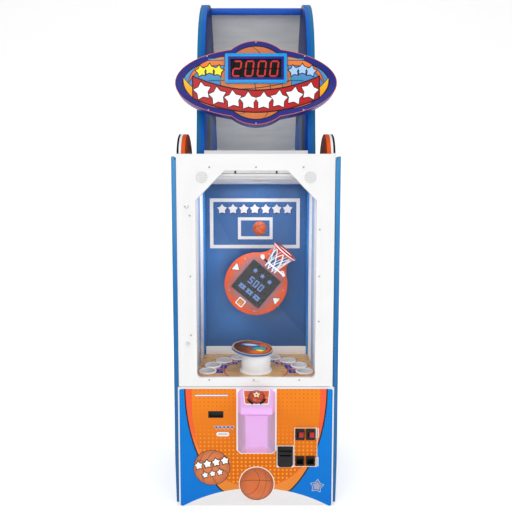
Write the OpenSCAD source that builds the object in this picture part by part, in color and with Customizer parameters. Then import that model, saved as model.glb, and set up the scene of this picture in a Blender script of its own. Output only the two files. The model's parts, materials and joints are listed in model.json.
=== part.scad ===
// Basketball hoop machine: an upright ticket game with a turning hoop wheel.
// Frame: +Z up, front of the machine towards -Y, origin on the floor at the centre of the outline.
// Inside every module, y is the depth behind the front face of the cabinet door.

/* [Cabinet] */
// Width over the side panels
cab_w = 965; // [945:1:985]
// Depth from the console nose to the rear hinges
total_d = 1250; // [1240:1:1270]
// Height of the side panels
side_h = 2082; // [2080:1:2084]
// Thickness of the wooden panels
panel_t = 19; // [16:1:20]
// How far the play console stands out in front of the door face
nose_d = 120; // [115:1:125]
// Height of the seam between lower panel and upper door
seam_z = 742; // [740:1:744]
// Ground clearance of the panels
clear_z = 12; // [8:1:16]

/* [Upper door] */
// Thickness of the door
door_t = 20; // [18:1:20]
// Height of the top edge of the door
door_top = 2096; // [2090:1:2100]
// Half width of the window
win_hw = 347; // [330:1:350]
// Height of the lower edge of the window
win_z0 = 796; // [790:1:810]
// Height where the sloping window corners start
win_z1 = 1834; // [1800:1:1850]
// Height of the upper edge of the window
win_z2 = 2003; // [1980:1:2005]
// Half width of the upper edge of the window
win_top_hw = 181; // [150:1:220]

/* [Play field] */
// Height of the play floor
floor_z = 773; // [771:1:773]
// Depth of the back wall
wall_y = 551; // [548:1:560]
// Height of the ceiling
ceil_z = 1973; // [1965:1:1975]
// Half width between the interior walls
play_hw = 368; // [364:1:370]
// Radius of the arc of scoring cups
cup_arc_r = 305; // [300:1:306]
// Depth of the centre of that arc
cup_arc_y = 183; // [180:1:186]
// Number of scoring cups
cup_count = 9; // [7:1:9]
// Inner diameter of a cup
cup_id = 96; // [94:1:98]
// Radius of the game ball
ball_r = 45.5; // [42:0.5:46]

/* [Hoop wheel] */
// Radius of the wheel disc
wheel_r = 212; // [205:1:215]
// Height of the wheel axis
wheel_z = 1294; // [1290:1:1300]
// Depth of the front face of the disc
wheel_y = 425; // [420:1:430]
// Angle of the hoop from upright, clockwise from the front
wheel_turn = 40; // [0:1:359]
// Distance of the rim from the wheel axis
rim_up = 293; // [288:1:295]
// Radius to the middle of the rim tube
rim_r = 75; // [74:1:78]
// Angle that the hoop tips towards the player
rim_tip = 6; // [0:1:7]

/* [Deflector] */
// Depth of the pedestal axis
ped_y = 208; // [204:1:212]
// Radius of the pedestal
ped_r = 92; // [88:1:94]
// Radius of the deflector plate
plate_r = 131; // [125:1:132]

/* [Marquee and tower] */
// Height of the marquee centre
marq_z = 2487; // [2480:1:2490]
// Half width of the marquee
marq_a = 454; // [440:1:458]
// Half height of the marquee oval
marq_b = 191; // [180:1:195]
// Radius of the round middle of the marquee
marq_r = 229; // [220:1:232]
// Total height of the tower
tower_top = 3190; // [3180:1:3200]

/* [Hidden] */
$fn = 64;
run = 0.05;             // radial play of a shaft that turns
front_y = nose_d - total_d / 2;
half_w = cab_w / 2;
inner_hw = half_w - panel_t;
rear_y = total_d - nose_d - 10;    // rear face of the rear panel
rear_in = rear_y - panel_t;
stile_hw = inner_hw - 8;           // inner edge of the front stiles
white = "#f4f4f4";
blue = "#1f74b8";
orange = "#ee8426";
lilac = "#ecb8f2";
steel = "#b8bcc0";
black = "#1a1a1c";

// Upper door
hinge_x = 446;
hinge_y = 7;
door_z0 = seam_z + 2;
door_left = -stile_hw + 1;
door_right = hinge_x + 7;
pane_t = 4;
lock_x = -399;
lock_z = [1800, 998];
lock_r = 9.5;
cam_y = 41;
speaker_x = 310;
speaker_z = 1964;
screw_sites = [[-266, 2021], [0, 2021], [270, 2021], [-380, 1747], [-380, 1397], [-380, 1051],
    [366, 1667], [366, 1397], [366, 1132], [-276, 783], [-13, 783], [255, 783]];

// Lower front panel
lower_hw = inner_hw - 2;
lower_top = seam_z - 2;
dome_x = 4;
dome_z = 147;
dome_r = 101;
credit = [-238, 574];
ticket = [-197, 455];
bill = [174, 316];
coin = [293, 373];
coin_w = 126;
coin_h = 234;
coin_hinge = [358.5, -4];
entry_x = [-32.5, 30.5];
reject_dx = 7.5;
slot_dx = -14;
entry_z = 456;
cup_z = 292;

// Play console: side outline and button seat
con_x = 3;
con_hw = 110;
con_z0 = 341;
con_z1 = 727;
deck_tilt = 29.6;
button_y = -55;
button_z = 700;
button_r = 42;
button_travel = 6;
plunger_r = 10;

// Ball path above the ceiling
drop_x = 23;
drop_y = 335;
ball_z = 1671;
lift_x = 200;
lift_y = 640;
lift_r = 53;
chute_run = sqrt(pow(lift_x - drop_x, 2) + pow(lift_y - drop_y, 2));
chute_turn = atan2(drop_y - lift_y, drop_x - lift_x);
chute_w = 108;
chute_drop = 2.5;
pin_at = 268;

// Wheel stack, behind the disc
disc_t = 30;
hoop_y = 335;
shaft_r = 10;
rim_tube = 13;
plate_z = 914;
plate_dx = -23;
ped_top = 885;

module placed() {
    translate([0, front_y, 0])
        children();
}

// A block given by its two corners
module block(a, b) {
    translate(a)
        cube(b - a);
}

// Extrudes an outline drawn in (y, z) along x, from x0 to x1
module along_x(x0, x1) {
    translate([x0, 0, 0])
        rotate([90, 0, 90])
            linear_extrude(x1 - x0)
                children();
}

// Extrudes an outline drawn in (x, z) along y, from y0 to y1
module along_y(y0, y1) {
    translate([0, y1, 0])
        rotate([90, 0, 0])
            linear_extrude(y1 - y0)
                children();
}

// A round bar along y
module rod_y(x, z, r, y0, y1) {
    translate([x, y1, z])
        rotate([90, 0, 0])
            cylinder(h = y1 - y0, r = r);
}

// A round bar along x
module rod_x(x0, x1, y, z, r) {
    translate([x0, y, z])
        rotate([0, 90, 0])
            cylinder(h = x1 - x0, r = r);
}

// A rectangle with round corners, centred on p
module round_rect(p, w, h, r) {
    translate(p) {
        square([w, h - 2 * r], center = true);
        square([w - 2 * r, h], center = true);
        for (sx = [-1, 1], sz = [-1, 1])
            translate([sx * (w / 2 - r), sz * (h / 2 - r)])
                circle(r);
    }
}

// ---------- structure ----------

module base_frame() {
    rail = 50;
    color("#4a4d50")
        placed()
            difference() {
                union() {
                    difference() {
                        block([-inner_hw, 22, 30], [inner_hw, rear_in, 80]);
                        block([-inner_hw + rail, 22 + rail, 29], [inner_hw - rail, rear_in - rail, 80]);
                    }
                    block([-inner_hw, 22, 80], [inner_hw, rear_in, 98]);
                }
                for (x = foot_x, y = foot_y)
                    translate([x, y, 29])
                        cylinder(h = 31, r = 6.3);
            }
}

foot_x = [-436, 436];
foot_y = [48, 1074];

module levelling_feet() {
    color(black)
        placed()
            for (x = foot_x, y = foot_y)
                translate([x, y, 0]) {
                    cylinder(h = 6, r = 24);
                    translate([0, 0, 6])
                        cylinder(h = 5, r1 = 24, r2 = 12, $fn = 48);
                    translate([0, 0, 11])
                        cylinder(h = 45, r = 6);
                    translate([0, 0, 20])
                        cylinder(h = 9, r = 11, $fn = 6);
                }
}

module side_panel(side) {
    color(blue)
        placed()
            mirror([side < 0 ? 1 : 0, 0, 0]) {
                along_x(inner_hw, half_w)
                    polygon([[30, clear_z], [0, 280], [0, side_h], [rear_y, side_h], [rear_y, clear_z]]);
                block([stile_hw, 0, seam_z], [inner_hw, 40, side_h - panel_t]);
            }
}

module side_panel_left() {
    side_panel(-1);
}

module side_panel_right() {
    side_panel(1);
}

rear_hw = 350;
rear_z = [252, 1850];
rear_hinge = [353, 1125.5];
inlet = [-396, 195];

module rear_panel() {
    color("#2a2c30")
        placed()
            difference() {
                block([-inner_hw, rear_in, clear_z], [inner_hw, rear_y, side_h]);
                block([-rear_hw, rear_in - 1, rear_z[0]], [rear_hw, rear_y + 1, rear_z[1]]);
                block([inlet[0] - 26, rear_in - 1, inlet[1] - 16],
                    [inlet[0] + 26, rear_y + 1, inlet[1] + 16]);
            }
}

hinge_sites = [480, 1620];
knuckle_h = 24;
knuckle_r = 4.5;

module rear_door() {
    color("#2f3236")
        placed() {
            difference() {
                block([-rear_hw + 2, rear_in, rear_z[0] + 2], [rear_hw - 2, rear_y, rear_z[1] - 2]);
                for (i = [0:7])
                    block([-110, rear_in - 1, 1600 + i * 24], [110, rear_y + 1, 1609 + i * 24]);
            }
            for (z = hinge_sites)
                difference() {
                    union() {
                        translate([rear_hinge[0], rear_hinge[1], z - knuckle_h / 2])
                            cylinder(h = knuckle_h, r = knuckle_r);
                        block([318, rear_y, z - knuckle_h / 2],
                            [rear_hw - 4, rear_y + 3, z + knuckle_h / 2]);
                        block([rear_hw - 5, rear_y + 1, z - knuckle_h / 2],
                            [rear_hinge[0], rear_y + 3, z + knuckle_h / 2]);
                    }
                    translate([rear_hinge[0], rear_hinge[1], z - knuckle_h])
                        cylinder(h = 2 * knuckle_h, r = 2.5 + run);
                }
        }
}

module top_deck() {
    deck_z = side_h - panel_t;
    hood = [309, 130, 760, 54];
    skin = 5;
    color(white)
        placed()
            difference() {
                union() {
                    block([-inner_hw, 27, deck_z], [inner_hw, rear_in, side_h]);
                    block([-stile_hw, 27, 2012], [stile_hw, 46, deck_z]);
                    block([-hood[0], hood[1], side_h], [hood[0], hood[2], side_h + hood[3]]);
                }
                block([-60, 270, deck_z - 1], [280, 720, side_h + 1]);
                block([-hood[0] + skin, hood[1] + skin, side_h],
                    [hood[0] - skin, hood[2] - skin, side_h + hood[3] - skin]);
            }
}

// Steel pivots of the three doors
module hinge_pins() {
    color(steel)
        placed() {
            // upper door, top: a bracket over the door edge, fixed to the deck's front edge, and its pin
            block([hinge_x - 10, 0, door_top + 0.5], [hinge_x + 9, 27, door_top + 3.5]);
            block([hinge_x - 10, 24, side_h - 60], [hinge_x + 9, 27, door_top + 3.5]);
            translate([hinge_x, hinge_y, door_top - 15])
                cylinder(h = 16, r = 3);
            // upper door, bottom: a bracket on the back of the lower panel, and its pin
            block([hinge_x - 10, 0.5, lower_top], [hinge_x + 7, 24, door_z0 - 0.5]);
            block([hinge_x - 10, panel_t + 0.5, lower_top - 40], [hinge_x + 7, 22.5, door_z0 - 0.5]);
            translate([hinge_x, hinge_y, lower_top])
                cylinder(h = 18, r = 3);
            // coin door: a leaf, the outer knuckles and the pin
            block([coin_hinge[0] - 1, -1.5, coin[1] - 117], [coin_hinge[0] + 14, 0, coin[1] - 60]);
            block([coin_hinge[0] - 1, -1.5, coin[1] + 60], [coin_hinge[0] + 14, 0, coin[1] + 117]);
            for (z = [coin[1] - 117, coin[1] + 60])
                translate([coin_hinge[0], coin_hinge[1], z])
                    cylinder(h = 57, r = 3.5);
            translate([coin_hinge[0], coin_hinge[1], coin[1] - 117])
                cylinder(h = 234, r = 1.5);
            // rear door: the outer knuckles, their leaves and the pins
            for (z = hinge_sites) {
                translate([rear_hinge[0], rear_hinge[1], z - 1.5 * knuckle_h])
                    cylinder(h = 3 * knuckle_h, r = 2.5);
                for (side = [-1, 1])
                    translate([0, 0, z + side * (knuckle_h + 0.5)]) {
                        translate([rear_hinge[0], rear_hinge[1], -knuckle_h / 2])
                            cylinder(h = knuckle_h, r = knuckle_r);
                        block([rear_hinge[0], rear_y, -knuckle_h / 2],
                            [rear_hinge[0] + 35, rear_y + 3, knuckle_h / 2]);
                    }
            }
        }
}

module lower_front_panel() {
    color(orange)
        placed()
            difference() {
                union() {
                    block([-lower_hw, 0, clear_z], [lower_hw, panel_t, lower_top]);
                    block([-lower_hw, panel_t, 700], [hinge_x - 12, 45, lower_top]);
                }
                rod_y(dome_x, dome_z, dome_r - 3, -1, panel_t + 1);
                block([credit[0] - 43, -1, credit[1] - 18.5],
                    [credit[0] + 43, panel_t + 1, credit[1] + 18.5]);
                block([ticket[0] - 35, -1, ticket[1] - 10],
                    [ticket[0] + 35, panel_t + 1, ticket[1] + 10]);
                block([bill[0] - 42, -1, bill[1] - 58], [bill[0] + 42, panel_t + 1, bill[1] + 58]);
                block([coin[0] - 60, -1, coin[1] - 112], [coin[0] + 57, panel_t + 1, coin[1] + 112]);
                block([con_x - 65, -1, 560], [con_x + 65, panel_t + 1, 698]);
            }
}

module front_dome() {
    rise = 38;
    shell = 4;
    ball = (dome_r * dome_r + rise * rise) / (2 * rise);
    color("#e0762c")
        placed() {
            translate([dome_x, 0, dome_z])
                rotate([90, 0, 0])
                    rotate_extrude()
                        intersection() {
                            difference() {
                                translate([0, rise - ball])
                                    circle(ball, $fn = 128);
                                translate([0, rise - ball - shell])
                                    circle(ball, $fn = 128);
                            }
                            square([dome_r, rise + 1]);
                        }
            difference() {
                rod_y(dome_x, dome_z, dome_r + 6, -3, 0);
                rod_y(dome_x, dome_z, dome_r + 0.2, -4, 1);
            }
        }
}

// ---------- play field ----------

function cup_angle(i) = i * 180 / (cup_count - 1);
function cup_x(i) = cup_arc_r * cos(cup_angle(i));
function cup_y(i) = cup_arc_y + cup_arc_r * sin(cup_angle(i));

module play_floor() {
    color("#c8a060")
        placed()
            difference() {
                union() {
                    block([-stile_hw, 27, floor_z - 12], [stile_hw, 40, floor_z]);
                    block([-inner_hw, 40, floor_z - 12], [inner_hw, 575, floor_z]);
                }
                for (i = [0:cup_count - 1])
                    translate([cup_x(i), cup_y(i), floor_z - 13])
                        cylinder(h = 14, r = cup_id / 2 + 4.5);
            }
}

module scoring_cups() {
    color(white)
        placed()
            for (i = [0:cup_count - 1])
                translate([cup_x(i), cup_y(i), 0])
                    rotate_extrude()
                        polygon([[cup_id / 2, 735], [cup_id / 2 + 4, 735], [cup_id / 2 + 4, floor_z],
                            [cup_id / 2 + 9, floor_z], [cup_id / 2 + 7, floor_z + 5],
                            [cup_id / 2 + 3, floor_z + 7], [cup_id / 2, floor_z + 5]]);
}

module interior_walls() {
    post = 14;
    color(white)
        placed()
            for (side = [-1, 1])
                mirror([side < 0 ? 1 : 0, 0, 0]) {
                    block([play_hw, 30, floor_z], [play_hw + 12, wall_y, ceil_z]);
                    block([0, wall_y - 5, floor_z], [play_hw - post, wall_y, floor_z + 58]);
                    block([play_hw - post, wall_y - post, floor_z], [play_hw, wall_y, ceil_z]);
                }
}

module back_wall() {
    color("#3f6ea8")
        placed()
            difference() {
                block([-inner_hw, wall_y, floor_z], [inner_hw, wall_y + 12, side_h - panel_t]);
                rod_y(0, wheel_z, shaft_r + 8, wall_y - 1, wall_y + 13);
                block([60, wall_y - 1, 1985], [250, wall_y + 13, side_h]);
            }
}

module ceiling() {
    corner = 250;
    color("#e4e4e4")
        placed() {
            difference() {
                block([-play_hw - 12, 30, ceil_z], [play_hw + 12, wall_y, ceil_z + 12]);
                block([-play_hw - 13, 29, ceil_z - 1], [-corner, 60, ceil_z + 13]);
                block([corner, 29, ceil_z - 1], [play_hw + 13, 60, ceil_z + 13]);
                translate([drop_x, drop_y, ceil_z - 1])
                    cylinder(h = 14, r = 56);
            }
            block([-300, 70, ceil_z - 12], [300, 120, ceil_z]);
            block([-corner, 30, ceil_z + 12], [corner, 36, 2010]);
        }
}

module pedestal() {
    color(white)
        placed()
            translate([0, ped_y, 0])
                rotate_extrude()
                    polygon([[ped_r - 4, floor_z], [ped_r + 11, floor_z], [ped_r + 10, floor_z + 4],
                        [ped_r + 2, floor_z + 9], [ped_r, floor_z + 14], [ped_r, ped_top - 3],
                        [ped_r - 3, ped_top], [8 + run, ped_top], [8 + run, ped_top - 12],
                        [16, ped_top - 12], [16, ped_top - 4], [ped_r - 4, ped_top - 4]]);
}

module deflector_plate() {
    color(orange)
        placed()
            translate([0, ped_y, 0]) {
                translate([plate_dx, 0, plate_z])
                    rotate([3.9, 4.8, 0])
                        translate([0, 0, -6])
                            cylinder(h = 12, r = plate_r, $fn = 128);
                translate([0, 0, 858])
                    cylinder(h = plate_z - 858, r = 8);
                translate([0, 0, ped_top + 1])
                    cylinder(h = plate_z - ped_top - 3, r = 18);
            }
}

module deflector_motor() {
    color(steel)
        placed()
            translate([0, ped_y, 0]) {
                translate([0, 0, floor_z])
                    cylinder(h = 5, r = 50);
                translate([0, 0, floor_z + 5])
                    cylinder(h = 62, r = 34);
                difference() {
                    translate([0, 0, floor_z + 67])
                        cylinder(h = 26, r = 14);
                    translate([0, 0, floor_z + 83])
                        cylinder(h = 11, r = 8 + run);
                }
            }
}

// ---------- hoop wheel ----------

// Places children in the wheel's own frame: x across, y up to the hoop, z towards the player
module wheel_frame() {
    translate([0, wheel_y, wheel_z])
        rotate([90, wheel_turn, 0])
            children();
}

module wheel_disc() {
    color("#e8633a")
        placed()
            wheel_frame()
                difference() {
                    translate([0, 0, -disc_t]) {
                        linear_extrude(disc_t) {
                            circle(wheel_r, $fn = 180);
                            polygon([[-172, 120], [-118, 176], [-86, 214], [-74, 245], [-66, 272],
                                [66, 272], [74, 245], [86, 214], [118, 176], [172, 120]]);
                        }
                        translate([0, 0, -20])
                            cylinder(h = 21, r = 40);
                    }
                    translate([0, 0, -disc_t - 21])
                        cylinder(h = 31, r = shaft_r + 0.02);
                }
}

module wheel_display() {
    size = 240;
    color("#303030")
        placed()
            wheel_frame()
                difference() {
                    translate([-size / 2, -size / 2, 0])
                        cube([size, size, 7]);
                    translate([-size / 2 + 5, -size / 2 + 5, 5])
                        cube([size - 10, size - 10, 3]);
                }
}

// The hoop's own frame: centred in the rim, z along its axis
module hoop_frame() {
    wheel_frame()
        translate([0, rim_up, wheel_y - hoop_y])
            rotate([rim_tip - 90, 0, 0])
                children();
}

module hoop_rim() {
    color("#d8442a")
        placed() {
            hoop_frame()
                rotate_extrude($fn = 96)
                    translate([rim_r, 0])
                        circle(rim_tube, $fn = 48);
            wheel_frame() {
                translate([-30, 225, 0])
                    cube([60, 72, 4]);
                translate([-30, rim_up - 4, 0])
                    cube([60, 8, 9]);
            }
        }
}

module hoop_net() {
    top = -rim_tube - 0.3;
    waist = -98;
    low = -153;
    color("#e8e8ee")
        placed()
            hoop_frame()
                rotate_extrude($fn = 96)
                    polygon([[40, low], [43, low], [48, waist], [75, top], [72, top], [45, waist]]);
}

module sensor_bar() {
    bar_up = 172;
    bar_z = 143;
    half = 86;
    color(white)
        placed()
            wheel_frame() {
                translate([-half, bar_up, bar_z])
                    rotate([0, 90, 0])
                        cylinder(h = 2 * half, r = 4.5);
                for (side = [-1, 1])
                    translate([side * half, bar_up, 0]) {
                        cylinder(h = bar_z, r = 6);
                        translate([0, 0, bar_z])
                            sphere(r = 10, $fn = 32);
                        cylinder(h = 3, r = 14);
                    }
            }
}

module wheel_shaft() {
    color(steel)
        placed() {
            rod_y(0, wheel_z, shaft_r, wheel_y + disc_t - 9, 712);
            rod_y(0, wheel_z, 22, 598, 628);
            rod_y(0, wheel_z, 26, 610, 616);
        }
}

module wheel_bearings() {
    color("#5a5f66")
        placed()
            difference() {
                union() {
                    block([-50, wall_y + 12, 1232], [50, wall_y + 20, 1356]);
                    block([-40, wall_y + 20, 1254], [40, wall_y + 40, 1334]);
                    block([-50, wall_y + 12, 1224], [50, 702, 1232]);
                    block([-40, 645, 1232], [40, 670, 1334]);
                    block([-40, 694, 1232], [40, 702, 1350]);
                }
                rod_y(0, wheel_z, shaft_r + run, wall_y, 671);
                rod_y(0, wheel_z, shaft_r + 4, 690, 703);
            }
}

module wheel_motor() {
    color("#3c4046")
        placed() {
            difference() {
                block([-45, 702, 1249], [45, 760, 1339]);
                rod_y(0, wheel_z, shaft_r + run, 701, 713);
            }
            rod_y(0, wheel_z, 38, 760, 850);
        }
}

// ---------- ball and ball path ----------

module game_ball() {
    color("#d2602a")
        placed()
            translate([drop_x, drop_y, ball_z])
                sphere(r = ball_r, $fn = 96);
}

// Places children with x along the chute, from the lift towards the drop hole
module chute_frame() {
    translate([lift_x, lift_y, 2003])
        rotate([0, 0, chute_turn])
            rotate([0, chute_drop, 0])
                children();
}

module feed_chute() {
    last = chute_run - 60;
    color("#8a8f96")
        placed() {
            chute_frame()
                difference() {
                    translate([-60, -chute_w / 2, 0])
                        cube([last + 60, chute_w, 42]);
                    translate([-56, -chute_w / 2 + 4, 4])
                        cube([last + 60, chute_w - 8, 60]);
                    translate([0, 0, -4])
                        rotate([0, -chute_drop, 0])
                            cylinder(h = 20, r = lift_r - 4);
                    translate([pin_at, 0, 24])
                        rotate([90, 0, 0])
                            cylinder(h = chute_w, r = 5);
                }
            // release solenoid, bolted beside the chute
            chute_frame()
                difference() {
                    translate([pin_at - 18, -chute_w / 2 - 56, 6])
                        cube([36, 56, 36]);
                    translate([pin_at, -chute_w / 2 + 1, 24])
                        rotate([90, 0, 0])
                            cylinder(h = 58, r = 4 + run);
                }
            // legs down to the ceiling
            block([104, 470, ceil_z + 12], [134, 500, 1998]);
            block([64, 395, ceil_z + 12], [94, 425, 1995]);
        }
}

module release_pin() {
    color(steel)
        placed()
            chute_frame()
                translate([pin_at, 4, 24])
                    rotate([90, 0, 0]) {
                        cylinder(h = 100, r = 4);
                        sphere(r = 4, $fn = 32);
                    }
}

module ball_return_tray() {
    front_z = 640;
    back_z = 606;
    hw = inner_hw;
    color("#9a9fa6")
        placed() {
            along_x(-hw, hw)
                polygon([[52, front_z], [56, front_z], [560, back_z], [560, back_z - 4],
                    [52, front_z - 4]]);
            block([-hw, 52, front_z], [hw, 55, 690]);
            along_y(560, 664)
                polygon([[-hw, back_z], [140, 582], [140, 578], [-hw, back_z - 4]]);
            block([-hw, 664, 578], [140, 668, 690]);
            block([140, 556, back_z], [hw, 560, 690]);
        }
}

module ball_lift() {
    color("#6c7178")
        placed() {
            difference() {
                translate([lift_x, lift_y, 575])
                    cylinder(h = 1424, r = lift_r);
                translate([lift_x, lift_y, 579])
                    cylinder(h = 1424, r = lift_r - 4);
                block([lift_x - lift_r - 1, lift_y - 47, 584], [lift_x, lift_y + 20, 684]);
            }
            // blower under the tube
            block([lift_x - 80, lift_y - 80, 470], [lift_x + 80, lift_y + 80, 575]);
            block([lift_x - 90, lift_y - 90, 98], [lift_x - 70, lift_y - 70, 470]);
            block([lift_x + 70, lift_y + 70, 98], [lift_x + 90, lift_y + 90, 470]);
            block([lift_x - 90, lift_y - 90, 464], [lift_x + 90, lift_y + 90, 470]);
        }
}

// ---------- upper door ----------

module window_outline(grow) {
    corner = 24;
    polygon([[-win_hw - grow, win_z0 + corner], [win_hw + grow, win_z0 + corner],
        [win_hw + grow, win_z1], [win_top_hw + grow, win_z2 + grow],
        [-win_top_hw - grow, win_z2 + grow], [-win_hw - grow, win_z1]]);
    round_rect([0, win_z0 + corner], 2 * win_hw, 2 * corner, corner - 0.5);
}

module door_frame() {
    color(white)
        placed()
            difference() {
                union() {
                    block([door_left, 0, door_z0], [hinge_x, door_t, door_top]);
                    translate([hinge_x, hinge_y, door_z0])
                        cylinder(h = door_top - door_z0, r = 7);
                    block([hinge_x, hinge_y, door_z0], [door_right, door_t, door_top]);
                }
                along_y(-1, door_t + 1)
                    window_outline(0);
                for (p = screw_sites)
                    rod_y(p[0], p[1], 2.7, -1, door_t + 1);
                for (z = lock_z)
                    rod_y(lock_x, z, lock_r + run, -1, door_t + 1);
                for (side = [-1, 1], ring = [0:3], i = [0:max(0, ring * 6 - 1)])
                    rod_y(side * speaker_x + ring * 10 * cos(i * 60 / max(1, ring)),
                        speaker_z + ring * 10 * sin(i * 60 / max(1, ring)),
                        2.6, -1, door_t + 1, $fn = 16);
                translate([hinge_x, hinge_y, door_z0 - 1])
                    cylinder(h = 16, r = 3 + run);
                translate([hinge_x, hinge_y, door_top - 16])
                    cylinder(h = 17, r = 3 + run);
            }
}

module door_window() {
    color([0.8, 0.9, 0.95, 0.3])
        placed()
            difference() {
                along_y(door_t, door_t + pane_t)
                    polygon([[-387, 775], [380, 775], [380, 1846], [230, 2035], [-275, 2035],
                        [-387, 1846]]);
                for (p = screw_sites)
                    rod_y(p[0], p[1], 2.7, door_t - 1, door_t + pane_t + 1);
                for (side = [-1, 1])
                    rod_y(side * speaker_x, speaker_z, 46, door_t - 1, door_t + pane_t + 1);
            }
}

module door_screws() {
    color("#a8abb0")
        placed()
            for (p = screw_sites) {
                rod_y(p[0], p[1], 5, -2, 0);
                rod_y(p[0], p[1], 2.5, -1, door_t + pane_t + 2);
            }
}

module door_speakers() {
    color(black)
        placed()
            for (side = [-1, 1])
                translate([side * speaker_x, door_t, speaker_z])
                    rotate([-90, 0, 0]) {
                        difference() {
                            cylinder(h = 5, r = 45);
                            translate([0, 0, -1])
                                cylinder(h = 3, r = 36);
                        }
                        translate([0, 0, 5])
                            cylinder(h = 16, r1 = 38, r2 = 24);
                        translate([0, 0, 21])
                            cylinder(h = 8, r = 24);
                    }
}

module door_lock(z) {
    color("#c8c8c0")
        placed() {
            difference() {
                union() {
                    rod_y(lock_x, z, lock_r, -2, cam_y);
                    rod_y(lock_x, z, lock_r + 2.5, -3, -0.5);
                }
                block([lock_x - 1, -4, z - 5], [lock_x + 1, 3, z + 5]);
            }
            rod_y(lock_x, z, 5, cam_y, cam_y + 5);
            block([lock_x - 7, cam_y, z - 64], [lock_x + 7, cam_y + 3, z + 7]);
        }
}

module door_lock_upper() {
    door_lock(lock_z[0]);
}

module door_lock_lower() {
    door_lock(lock_z[1]);
}

// ---------- play console ----------

// The solid form of the console; shrink makes the hollow inside it
module console_form(shrink) {
    hw = con_hw - shrink;
    nose = 16 - shrink * 0.6;
    hull() {
        along_y(-8, 0)
            polygon([[-hw, 590], [hw, 590], [hw, con_z1 - 18 - shrink], [hw - 18, con_z1 - shrink],
                [-hw + 18, con_z1 - shrink], [-hw, con_z1 - 18 - shrink]]);
        for (z = [636, 654])
            rod_x(-88 + shrink, 88 - shrink, -nose_d + 16, z, nose);
        block([-98 + shrink, -70, 610], [98 - shrink, -60, 625]);
    }
    hull() {
        along_y(-8, 0)
            polygon([[-hw + 16, con_z0 + shrink], [hw - 16, con_z0 + shrink], [hw, con_z0 + 16 + shrink],
                [hw, 640], [-hw, 640], [-hw, con_z0 + 16 + shrink]]);
        along_y(-88 + shrink, -86 + shrink)
            round_rect([0, 515], 126 - shrink, 182 - shrink, 10);
    }
}

module console_shell() {
    color(lilac)
        placed()
            translate([con_x, 0, 0])
                difference() {
                    console_form(0);
                    translate([0, 4, 0])
                        console_form(4);
                    translate([0, button_y, button_z])
                        rotate([deck_tilt, 0, 0])
                            translate([0, 0, -40])
                                cylinder(h = 60, r = button_r + 4);
                }
}

// Places children on the button's own axis, z out of the sloping deck
module deck_frame() {
    translate([con_x, button_y, button_z])
        rotate([deck_tilt, 0, 0])
            children();
}

module button_plate() {
    color("#dd5a14")
        placed()
            deck_frame()
                difference() {
                    translate([0, 0, 0.5])
                        linear_extrude(3)
                            polygon([[-76, 50], [-80, 44], [-70, -46], [-62, -52], [62, -52], [70, -46],
                                [80, 44], [76, 50]]);
                    translate([0, 0, -10])
                        cylinder(h = 30, r = button_r + 1);
                }
}

housing_floor = -36;

module button_housing() {
    color(black)
        placed()
            deck_frame()
                difference() {
                    union() {
                        translate([0, 0, -44])
                            cylinder(h = 42, r = button_r + 3);
                        translate([-12, -20, -58])
                            cube([24, 40, 14]);
                    }
                    translate([0, 0, housing_floor])
                        cylinder(h = 40, r = button_r + 0.5);
                    translate([0, 0, -50])
                        cylinder(h = 20, r = plunger_r + run);
                }
}

module button_spring() {
    turns = 7;
    wire_r = 1.45;
    pitch = 2.8;
    color(steel)
        placed()
            deck_frame()
                rotate_extrude()
                    for (i = [0:turns - 1])
                        translate([16, housing_floor + wire_r + i * pitch])
                            circle(wire_r, $fn = 16);
}

module play_button() {
    color("#e2703a")
        placed()
            deck_frame() {
                rotate_extrude($fn = 96)
                    polygon([[0, -10], [button_r, -10], [button_r, 6], [button_r - 1.5, 9],
                        [button_r - 7, 14], [button_r - 16, 19], [button_r - 28, 22.5], [0, 24]]);
                translate([0, 0, -42])
                    cylinder(h = 33, r = plunger_r);
            }
}

// ---------- devices in the lower panel ----------

module credit_display() {
    color(black)
        placed()
            difference() {
                union() {
                    block([credit[0] - 45, -2, credit[1] - 20.5], [credit[0] + 45, 0, credit[1] + 20.5]);
                    block([credit[0] - 42, 0, credit[1] - 17.5],
                        [credit[0] + 42, 42, credit[1] + 17.5]);
                }
                block([credit[0] - 38, -3, credit[1] - 15], [credit[0] + 38, 10, credit[1] + 15]);
            }
}

module ticket_dispenser() {
    slot = 4.5;
    color("#e8e8e8")
        placed()
            difference() {
                union() {
                    along_y(-6, 0)
                        round_rect(ticket, 77, 25, 12);
                    block([ticket[0] - 34, 0, ticket[1] - 9], [ticket[0] + 34, 24, ticket[1] + 9]);
                    block([ticket[0] - 60, 24, ticket[1] - 55], [ticket[0] + 60, 190, ticket[1] + 55]);
                }
                block([ticket[0] - 28, -7, ticket[1] - slot], [ticket[0] + 28, 70, ticket[1] + slot]);
            }
}

module bill_validator() {
    w = 46;
    h = 63;
    cut = 12;
    color(black)
        placed()
            difference() {
                union() {
                    along_y(-8, 0)
                        polygon([[bill[0] - w, bill[1] + h], [bill[0] + w, bill[1] + h],
                            [bill[0] + w, bill[1] - h + cut], [bill[0] + w - cut, bill[1] - h],
                            [bill[0] - w + cut, bill[1] - h], [bill[0] - w, bill[1] - h + cut]]);
                    block([bill[0] - 40, 0, bill[1] - 56], [bill[0] + 40, 170, bill[1] + 56]);
                    block([bill[0] - 40, -20, bill[1] - 6], [bill[0] + 40, -8, bill[1] + 36]);
                }
                block([bill[0] - 34, -21, bill[1] + 10], [bill[0] + 34, 60, bill[1] + 19]);
            }
}

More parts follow.
